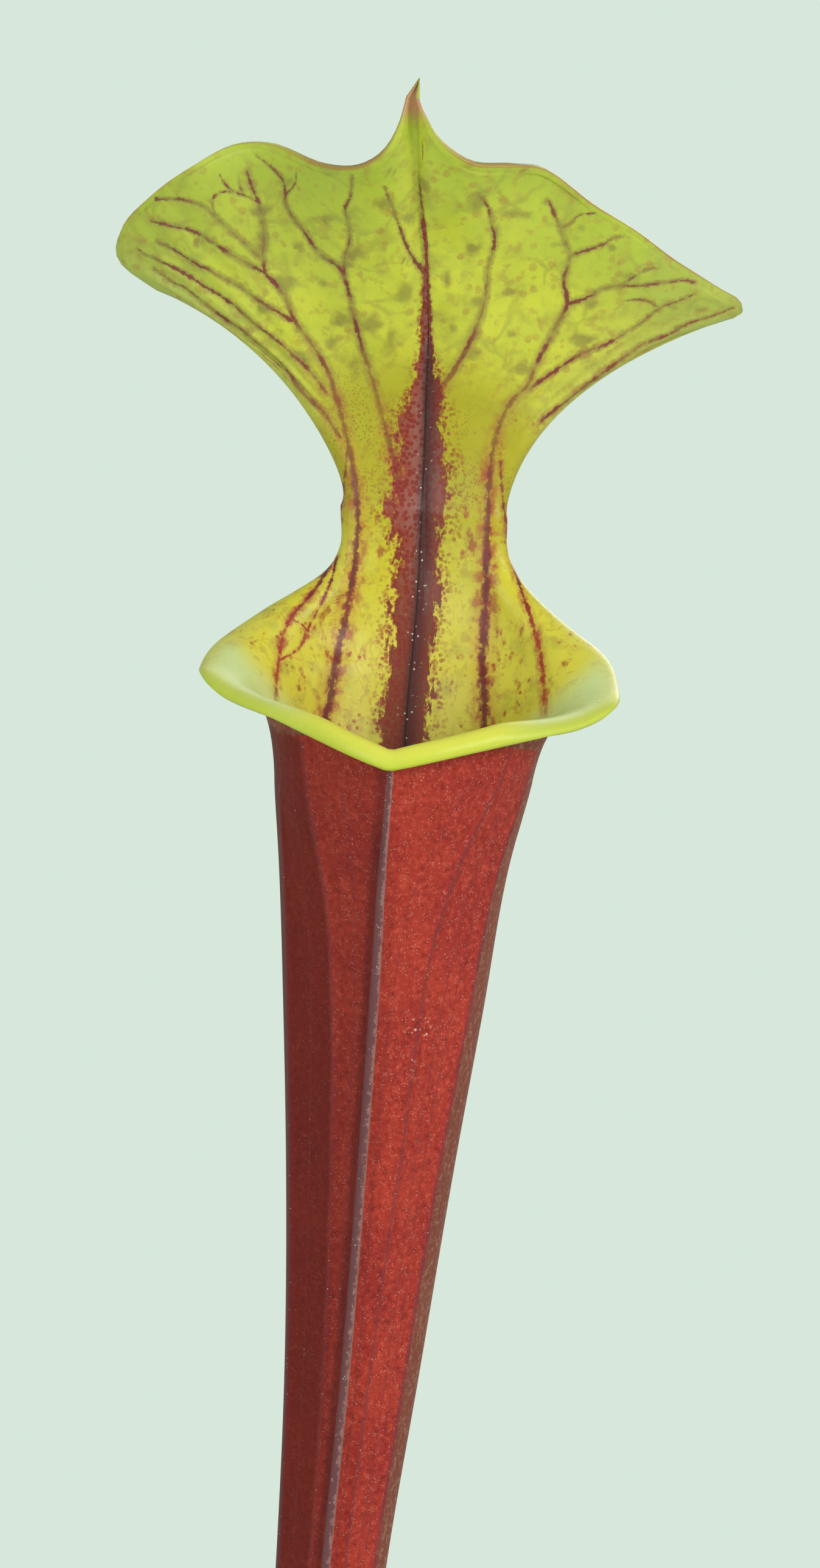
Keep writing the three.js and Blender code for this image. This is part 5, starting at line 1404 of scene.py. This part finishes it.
class PITCHER_OT_rhizome(Operator):
    """Builds the half-buried rhizome with its old leaf bases and roots"""

    bl_idname = "pitcher.rhizome"
    bl_label = "Rhizome and roots"

    def execute(self, context):
        sides = 72
        along = np.linspace(0, RHIZOME_LENGTH, 110)
        radius = through(RHIZOME_RADII, along)[:, 0]
        turn = np.linspace(0, 2 * np.pi, sides, endpoint=False)
        around = np.stack([along[:, None] + 0 * turn, 9 * np.cos(turn) + 0 * along[:, None],
                           9 * np.sin(turn) + 0 * along[:, None]], -1)
        rough = 1 + 0.022 * ripples(around, 5.0, 11) + 0.014 * ripples(around, 1.9, 12)
        rings = np.stack([along[:, None] + 0 * turn, radius[:, None] * rough * np.cos(turn) * 0.985,
                          radius[:, None] * rough * np.sin(turn) * 0.985], -1)
        index = np.arange(rings.shape[0] * sides).reshape(-1, sides)
        ends = np.vstack([fan(index[0], index.size, flip=True), fan(index[-1], index.size + 1)])
        whole = np.vstack([rings.reshape(-1, 3), (0, 0, 0), (RHIZOME_LENGTH, 0, 0)])
        parts = [(whole, ring_quads(len(along), sides), ends)]
        for place, lean, length in STUBS:
            tilt = lean * DEG
            reach = length + 8
            share = np.linspace(0, 1, 14)
            path = np.column_stack([place - 1.5 * share, math.sin(tilt) * reach * share,
                                    2 + (math.cos(tilt) * reach - 2) * share])
            parts.append(tube_along(path, 2.6 - 0.5 * share**3 + 0.12 * np.sin(share * 30), 20))
        for place, reach_x, reach_y, depth in ROOTS:
            u = np.linspace(0, 1, 30)
            route = [(0, 0, 0, 0), (0.34, 0.1, 0.16, -0.3), (0.68, 0.5, 0.6, -0.72), (1, 1, 1, -1)]
            path = through(route, u) * (reach_x, reach_y, depth) + (place, 0, -4)
            parts.append(tube_along(path, 1.3 - 0.7 * u**2, 12))
        points, quads, tris = joined([(rhizome_place(p), q, t) for p, q, t in parts])
        piece = make_piece("rhizome_bark", points, quads, tris, None, [bark_finish(context.scene.leaves)])
        settle(piece, "rhizome", "rhizome")
        return {"FINISHED"}


# ------------------------------------------------------------------ pot and peat

# pot: the wall's outer radius and height at the rim band, its radius at the base, the wall and the floor
SHOULDER_RADIUS = 71.2
SHOULDER_HEIGHT = 116.0
BASE_RADIUS = 54.0
POT_WALL = 1.6
POT_FLOOR = 2.2

# drain holes: how many, the radius of the circle they lie on and their own radius
DRAIN_HOLES = 8
DRAIN_CIRCLE = 39
DRAIN_RADIUS = 5

# peat: height and radius of its edge, how far it keeps from the wall's outside, and height of its base
SOIL_EDGE = 112.8
SOIL_RADIUS = 68.7
SOIL_INSET = 1.9
SOIL_BASE = 2.5

# patches of moss: x, y, radius
MOSS_PATCHES = [
    (-40, -34, 15), (42, 30, 16), (-30, 44, 12), (50, -24, 11), (-56, 8, 9), (12, 54, 9), (10, -46, 12),
]

# what grains and moss keep clear of, the pitcher, the young pitcher and the flat leaves: x, y, radius
STEM_FEET = [(-15, 10, 8.5), (*YOUNG_FOOT, 5.5), *[(blade[0], blade[1], 4.6) for blade in BLADES]]


def wall_radius(z):
    """Outer radius of the tapered wall."""
    return BASE_RADIUS + (SHOULDER_RADIUS - BASE_RADIUS) * z / SHOULDER_HEIGHT


def rounded(profile, radius):
    """A profile with each inner corner replaced by a small arc: three points on a quadratic curve."""
    profile = np.asarray(profile, float)
    out = [profile[0]]
    for before, corner, after in zip(profile[:-2], profile[1:-1], profile[2:]):
        a = min(radius, 0.4 * np.linalg.norm(before - corner))
        b = min(radius, 0.4 * np.linalg.norm(after - corner))
        start = corner + unit(before - corner) * a
        end = corner + unit(after - corner) * b
        out.extend([start, 0.25 * start + 0.5 * corner + 0.25 * end, end])
    out.append(profile[-1])
    return np.array(out)


def plastic_finish(colours):
    """Moulded dark plastic: fine pebble, faint flow lines, patches of dust and scuffs."""
    material, tree, shader, where = new_finish("Pot plastic", Roughness=0.5, IOR=1.46)
    dust = step(tree, grain(tree, where, 38.0, 5.0, 0.62), 0.5, 0.75)
    scuff = step(tree, grain(tree, stretch(tree, where, (1.0, 1.0, 0.12)), 260.0, 3.0), 0.62, 0.7)
    base = blend(tree, times(tree, dust, 0.35), colours.plastic, (0.085, 0.075, 0.062))
    base = shade(tree, scuff, 0.25, base, (0.10, 0.10, 0.10))
    pebble = grain(tree, where, 2600.0, 2.0)
    feed(tree, shader, Base_Color=base, Normal=bump(tree, pebble, 0.25, 0.0002),
         Roughness=calc(tree, "MULTIPLY_ADD", dust, 0.3, 0.42))
    return material


class PITCHER_OT_pot(Operator):
    """Builds the round nursery pot with its rim band and drain holes"""

    bl_idname = "pitcher.pot"
    bl_label = "Nursery pot"

    def execute(self, context):
        pot = context.scene.pot
        rim, height = pot.rim_radius / MM, pot.height / MM
        inner = lambda z: wall_radius(z) - POT_WALL
        outside = [(0, 0), (BASE_RADIUS - 0.4, 0), (wall_radius(1.2), 1.6),
                   (SHOULDER_RADIUS, SHOULDER_HEIGHT)]
        band = [(rim - 0.3, SHOULDER_HEIGHT + 1.6), (rim, height - 0.6), (rim - 1.0, height),
                (rim - 2.4, height - 0.2), (rim - 2.6, SHOULDER_HEIGHT + 3.6)]
        inside = [(inner(SHOULDER_HEIGHT) + 0.4, SHOULDER_HEIGHT + 1.2), (inner(5.0), 5.0),
                  (inner(POT_FLOOR) - 2.4, POT_FLOOR), (0, POT_FLOOR)]
        profile = rounded(outside + band + inside, 1.1)[1:-1]
        middle = 26.0
        profile = np.vstack([(middle, 0.0), profile, (middle, POT_FLOOR)])
        sides = 160
        turn = np.linspace(0, 2 * np.pi, sides, endpoint=False)
        out, up = profile[:, :1], profile[:, 1:]
        rings = np.stack([out * np.sin(turn), -out * np.cos(turn), up + 0 * turn], -1)
        rows = len(profile)
        points = np.vstack([rings.reshape(-1, 3), (0, 0, 0), (0, 0, POT_FLOOR)])
        index = np.arange(rows * sides).reshape(rows, sides)
        tris = np.vstack([fan(index[0], rows * sides, flip=True), fan(index[-1], rows * sides + 1)])
        finish = plastic_finish(pot)
        piece = make_piece("nursery_pot", points, ring_quads(rows, sides), tris, None, [finish])

        cutters = []
        turn = np.linspace(0, 2 * np.pi, 32, endpoint=False)
        low, top = np.arange(32), np.arange(32, 64)
        for k in range(DRAIN_HOLES):
            angle = (k + 0.5) / DRAIN_HOLES * 2 * math.pi
            x, y = DRAIN_CIRCLE * math.cos(angle), DRAIN_CIRCLE * math.sin(angle)
            ring = np.column_stack([x + DRAIN_RADIUS * np.cos(turn), y + DRAIN_RADIUS * np.sin(turn)])
            walls = np.vstack([np.column_stack([ring, np.full(32, -3.0)]),
                               np.column_stack([ring, np.full(32, 4.0)]), (x, y, -3), (x, y, 4)])
            cutters.append((walls, ring_quads(2, 32), np.vstack([fan(low, 64, flip=True), fan(top, 65)])))
        cutter = make_piece("drain_cutter", *joined(cutters), None, [finish])
        hole = piece.modifiers.new("Drain holes", "BOOLEAN")
        hole.operation = "DIFFERENCE"
        hole.solver = "EXACT"
        hole.object = cutter
        bpy.context.view_layer.update()
        cut = bpy.data.meshes.new_from_object(piece.evaluated_get(bpy.context.evaluated_depsgraph_get()))
        piece.modifiers.clear()
        piece.data = cut
        bpy.data.objects.remove(cutter)
        if len(cut.polygons) < rows * sides:
            raise RuntimeError("The drain holes didn't cut")
        cut.polygons.foreach_set("use_smooth", np.full(len(cut.polygons), True))
        cut.set_sharp_from_angle(angle=35 * DEG)
        settle(piece, "pot", "pot")
        return {"FINISHED"}


def soil_height(x, y):
    """Height of the peat: crowned in the middle, with broad lumps and finer crumbs that fade at the wall."""
    edge = np.hypot(x, y) / SOIL_RADIUS
    broad = 0.7 * np.sin(0.21 * x + 1.1) * np.cos(0.17 * y - 0.4) + 0.45 * np.sin(0.36 * y + 0.12 * x)
    return SOIL_EDGE + (2.4 + broad) * (1 - edge**2)


def peat_finish(colours):
    """Moist dark peat: crumbs, fibres, paler bits and wet sheen in the hollows."""
    material, tree, shader, where = new_finish("Peat", Roughness=0.9, IOR=1.4)
    crumb = grain(tree, where, 700.0, 6.0, 0.7)
    fibre = cells(tree, stretch(tree, where, (1.0, 0.35, 1.0)), 900.0, "DISTANCE_TO_EDGE")
    base = blend(tree, step(tree, crumb, 0.35, 0.7), colours.peat, (0.115, 0.066, 0.038))
    base = shade(tree, step(tree, fibre, 0.08, 0.0), 0.35, base, (0.19, 0.12, 0.07))
    height = calc(tree, "ADD", crumb, times(tree, grain(tree, where, 2600.0, 3.0), 0.4))
    feed(tree, shader, Base_Color=base, Normal=bump(tree, height, 0.9, 0.0014),
         Roughness=calc(tree, "MULTIPLY_ADD", crumb, 0.4, 0.6))
    return material


class PITCHER_OT_peat(Operator):
    """Builds the peat's crumbly top and plain sides"""

    bl_idname = "pitcher.peat"
    bl_label = "Peat"

    def execute(self, context):
        sides = 200
        turn = np.linspace(0, 2 * np.pi, sides, endpoint=False)
        top_radius = wall_radius(SOIL_EDGE) - SOIL_INSET
        radii = np.concatenate([[wall_radius(SOIL_BASE) - 4.1, wall_radius(4.7) - SOIL_INSET, top_radius],
                                top_radius * (1 - np.linspace(0, 1, 90)[1:] ** 1.05 * 0.985)])
        x, y = radii[:, None] * np.sin(turn), -radii[:, None] * np.cos(turn)
        z = soil_height(x, y)
        spot = np.stack([x, y], -1)
        fade = np.clip((top_radius - radii) / 3, 0, 1)[:, None]
        crumbs = 0.34 * ripples(spot, 5.2, 21) + 0.22 * ripples(spot, 2.3, 22) + 0.14 * ripples(spot, 1.2,
                                                                                                23)
        z = z + fade * np.clip(crumbs, -0.9, 0.6)
        z[0], z[1], z[2] = SOIL_BASE, 4.7, SOIL_EDGE
        rows = len(radii)
        points = np.vstack([np.stack([x, y, z], -1).reshape(-1, 3), (0, 0, SOIL_BASE), (0, 0, z[-1].mean())])
        index = np.arange(rows * sides).reshape(rows, sides)
        tris = np.vstack([fan(index[0], rows * sides, flip=True), fan(index[-1], rows * sides + 1)])
        finish = peat_finish(context.scene.pot)
        piece = make_piece("peat", points, ring_quads(rows, sides), tris, None, [finish])
        settle(piece, "soil", "soil")
        return {"FINISHED"}


def pebble():
    """A small rounded grain: an octahedron with each edge's middle pushed out to a sphere."""
    ends = np.array([(1, 0, 0), (-1, 0, 0), (0, 1, 0), (0, -1, 0), (0, 0, 1), (0, 0, -1)], float)
    signs = np.array([(a, b, c) for a in (1, -1) for b in (1, -1) for c in (1, -1)])
    points, tris = [], []
    for sx, sy, sz in signs:
        a, b, c = ends[0 if sx > 0 else 1], ends[2 if sy > 0 else 3], ends[4 if sz > 0 else 5]
        if sx * sy * sz < 0:
            b, c = c, b
        middle = [unit(a + b), unit(b + c), unit(c + a)]
        base = len(points)
        points.extend([a, b, c, *middle])
        tris.extend([(base, base + 3, base + 5), (base + 3, base + 1, base + 4),
                     (base + 5, base + 4, base + 2), (base + 3, base + 4, base + 5)])
    places, index = np.unique(np.round(points, 6), axis=0, return_inverse=True)
    return places, index.reshape(-1)[np.array(tris)]


def turned(rng, count):
    """Random rotation matrices, from unit quaternions."""
    w, x, y, z = unit(rng.normal(size=(count, 4))).T
    return np.stack([1 - 2 * (y * y + z * z), 2 * (x * y - w * z), 2 * (x * z + w * y), 2 * (x * y + w * z),
                     1 - 2 * (x * x + z * z), 2 * (y * z - w * x), 2 * (x * z - w * y), 2 * (y * z + w * x),
                     1 - 2 * (x * x + y * y)], -1).reshape(-1, 3, 3)


def clear_of_stems(x, y):
    """True where a spot on the peat isn't inside a stem or the strip where the rhizome lies."""
    clear = np.ones(len(x), bool)
    for fx, fy, radius in STEM_FEET:
        clear &= np.hypot(x - fx, y - fy) > radius
    aside = np.abs(y - 7 + 0.12 * (x - 15))
    return clear & ~((aside < 9.5) & (x > -10) & (x < 44))


def spots(rng, count, radius):
    """Random places on the peat, even over its area, clear of the stems."""
    distance = radius * np.sqrt(rng.uniform(0, 1, count))
    turn = rng.uniform(0, 2 * np.pi, count)
    x, y = distance * np.cos(turn), distance * np.sin(turn)
    keep = clear_of_stems(x, y)
    return x[keep], y[keep]


def grain_finish(name, dark, light, rough):
    """Plain mineral or bark grain with a mottled colour."""
    material, tree, shader, where = new_finish(name, Roughness=rough, IOR=1.45)
    speck = grain(tree, where, 900.0, 3.0)
    feed(tree, shader, Base_Color=blend(tree, step(tree, speck, 0.35, 0.65), dark, light),
         Normal=bump(tree, grain(tree, where, 2500.0, 2.0), 0.5, 0.0003))
    return material


def scatter_grains(name, seed, count, radius, sizes, flat, finish):
    """Copies of a rounded grain, each squashed, turned and bedded in the peat."""
    rng = np.random.default_rng(seed)
    x, y = spots(rng, count, radius)
    shape, tris = pebble()
    number = len(x)
    size = rng.uniform(*sizes, (number, 1, 1)) * rng.uniform(0.7, 1.0, (number, 1, 3))
    size = size * np.array([1.0, 1.0, flat])
    lumps = 1 + rng.uniform(-0.16, 0.16, (number, len(shape), 1))
    placed = np.einsum("nij,nkj->nki", turned(rng, number), shape[None] * lumps * size)
    bed = np.column_stack([x, y, soil_height(x, y) + 0.25])
    points = (placed + bed[:, None]).reshape(-1, 3)
    faces = (tris[None] + np.arange(number)[:, None, None] * len(shape)).reshape(-1, 3)
    piece = make_piece(name, points, np.zeros((0, 4), int), faces, None, [finish])
    settle(piece, "soil")


class PITCHER_OT_dressing(Operator):
    """Scatters white grit, bark crumbs and moss shoots over the peat"""

    bl_idname = "pitcher.dressing"
    bl_label = "Grit, crumbs and moss"

    def execute(self, context):
        pot = context.scene.pot
        scatter_grains("perlite", 31, pot.grit, 66.0, (0.6, 1.7), 0.8,
                       grain_finish("Perlite", (0.55, 0.53, 0.48), (0.78, 0.77, 0.72), 0.85))
        scatter_grains("bark_crumbs", 32, 620, 67.0, (0.5, 1.9), 0.45,
                       grain_finish("Bark crumbs", (0.04, 0.022, 0.013), (0.15, 0.08, 0.045), 0.9))

        # moss: each shoot is a short stalk of pointed leaflets in turns
        rng = np.random.default_rng(33)
        patches = np.array(MOSS_PATCHES)
        pick = rng.integers(0, len(patches), pot.tufts)
        distance = patches[pick, 2] * np.sqrt(rng.uniform(0, 1, pot.tufts))
        turn = rng.uniform(0, 2 * np.pi, pot.tufts)
        x, y = patches[pick, 0] + distance * np.cos(turn), patches[pick, 1] + distance * np.sin(turn)
        keep = clear_of_stems(x, y) & (np.hypot(x, y) < 66)
        x, y = x[keep], y[keep]
        levels, leaflets = 4, 5
        level = np.repeat(np.arange(levels), leaflets)
        spin = np.tile(np.arange(leaflets), levels) * 2 * np.pi / leaflets + level * 0.63
        out = np.stack([np.cos(spin), np.sin(spin), np.zeros_like(spin)], -1)
        side = np.stack([-np.sin(spin), np.cos(spin), np.zeros_like(spin)], -1)
        up = np.array([0, 0, 1.0])
        root = up * (0.2 + level * 0.75)[:, None]
        reach = (1.5 - level * 0.22)[:, None]
        leaf = np.stack([root - side * 0.28, root + side * 0.28, root + out * reach + up * reach * 0.75,
                         root + up * 0.3 + out * 0.35], 1)
        tuft = leaf.reshape(-1, 3)
        number = len(x)
        size = rng.uniform(0.8, 1.5, (number, 1, 1))
        placed = tuft[None] * size
        lean = rng.normal(0, 0.25, (number, 1, 2)) * placed[..., 2:]
        placed[..., :2] += lean
        placed += np.column_stack([x, y, soil_height(x, y) - 0.2])[:, None]
        base = (np.arange(levels * leaflets) * 4)[:, None]
        tris = np.vstack([base + (0, 2, 1), base + (0, 1, 3), base + (1, 2, 3), base + (0, 3, 2)])
        faces = (tris[None] + np.arange(number)[:, None, None] * len(tuft)).reshape(-1, 3)
        finish = grain_finish("Moss", (0.05, 0.12, 0.015), (0.17, 0.27, 0.035), 0.7)
        piece = make_piece("moss", placed.reshape(-1, 3), np.zeros((0, 4), int), faces, None, [finish])
        settle(piece, "soil")
        return {"FINISHED"}


# ------------------------------------------------------------------ floor, light and camera


class PITCHER_OT_stage(Operator):
    """Sets the floor, soft studio light and the camera"""

    bl_idname = "pitcher.stage"
    bl_label = "Stage"

    def execute(self, context):
        stage = context.scene.stage
        turn = np.linspace(0, 2 * np.pi, 96, endpoint=False)
        radius = 1500
        disc = np.column_stack([radius * np.cos(turn), radius * np.sin(turn), 0 * turn])
        material, tree, shader, where = new_finish("Floor", Roughness=0.8)
        tint = blend(tree, grain(tree, where, 3.0), stage.floor, tuple(0.97 * c for c in stage.floor))
        feed(tree, shader, Base_Color=tint)
        points, tris = np.vstack([disc, (0, 0, 0)]), fan(np.arange(96), 96)
        floor = make_piece("floor", points, np.zeros((0, 4), int), tris, None, [material])

        world = bpy.data.worlds.new("Soft surround")
        world.use_nodes = True
        tree = world.node_tree
        soft = tree.nodes["Background"]
        soft.inputs["Color"].default_value = (*stage.backdrop, 1)
        soft.inputs["Strength"].default_value = stage.surround
        seen = add(tree, "ShaderNodeBackground", {"Color": (*stage.backdrop, 1), "Strength": 1.0})
        direct = add(tree, "ShaderNodeLightPath").outputs["Is Camera Ray"]
        both = add(tree, "ShaderNodeMixShader", {0: direct, 1: soft.outputs[0], 2: seen.outputs[0]})
        tree.links.new(both.outputs[0], tree.nodes["World Output"].inputs["Surface"])
        context.scene.world = world
        context.scene.view_settings.view_transform = "Standard"

        def soft_box(name, place, aim, size, power, colour):
            data = bpy.data.lights.new(name, "AREA")
            data.shape = "DISK"
            data.size = size
            data.energy = power
            data.color = colour
            light = bpy.data.objects.new(name, data)
            light.location = place
            light.rotation_euler = (Vector(aim) - Vector(place)).to_track_quat("-Z", "Y").to_euler()
            context.scene.collection.objects.link(light)

        middle = (0.0, 0.0, 0.42)
        soft_box("key", (1.1, -0.95, 0.85), middle, 0.7, 11.0, (1.0, 0.97, 0.92))
        soft_box("fill", (-0.7, -1.2, 0.5), middle, 0.9, 7.0, (0.96, 1.0, 0.95))
        soft_box("back", (0.3, 1.2, 1.0), middle, 0.9, 7.0, (0.98, 1.0, 0.95))

        camera = bpy.data.cameras.new("Portrait")
        camera.lens = stage.lens
        camera.sensor_width = 36.0
        camera.clip_start = 0.05
        camera.clip_end = 20
        view = bpy.data.objects.new("Portrait", camera)
        view.location = ((VIEW_X + LEAF_X) * MM, -VIEW_DISTANCE * MM, (VIEW_Z + LEAF_Z) * MM)
        view.rotation_euler = (math.pi / 2, 0, 0)
        context.scene.collection.objects.link(view)
        context.scene.camera = view
        return {"FINISHED"}


class PITCHER_PT_panel(Panel):
    """Lists the pieces and their settings"""

    bl_idname = "PITCHER_PT_panel"
    bl_label = "Pitcher plant"
    bl_space_type = "VIEW_3D"
    bl_region_type = "UI"
    bl_category = "Pitcher plant"

    def draw(self, context):
        layout = self.layout
        for operator in STEPS:
            layout.operator(operator.bl_idname)
        for group in (context.scene.pitcher, context.scene.leaves, context.scene.pot, context.scene.stage):
            box = layout.box()
            for key in group.__annotations__:
                box.prop(group, key)


SETTINGS = {"pitcher": PitcherSettings, "leaves": LeafSettings, "pot": PotSettings, "stage": StageSettings}
STEPS = (PITCHER_OT_stage, PITCHER_OT_pot, PITCHER_OT_peat, PITCHER_OT_rhizome, PITCHER_OT_trumpet,
         PITCHER_OT_young_leaves, PITCHER_OT_dressing)


def register():
    for kind in (*SETTINGS.values(), *STEPS, PITCHER_PT_panel):
        bpy.utils.register_class(kind)
    for name, kind in SETTINGS.items():
        setattr(bpy.types.Scene, name, PointerProperty(type=kind))


def unregister():
    for name in SETTINGS:
        delattr(bpy.types.Scene, name)
    for kind in reversed((*SETTINGS.values(), *STEPS, PITCHER_PT_panel)):
        bpy.utils.unregister_class(kind)


def main():
    register()
    for step_class in STEPS:
        area, name = step_class.bl_idname.split(".")
        getattr(getattr(bpy.ops, area), name)()


if __name__ == "__main__":
    main()
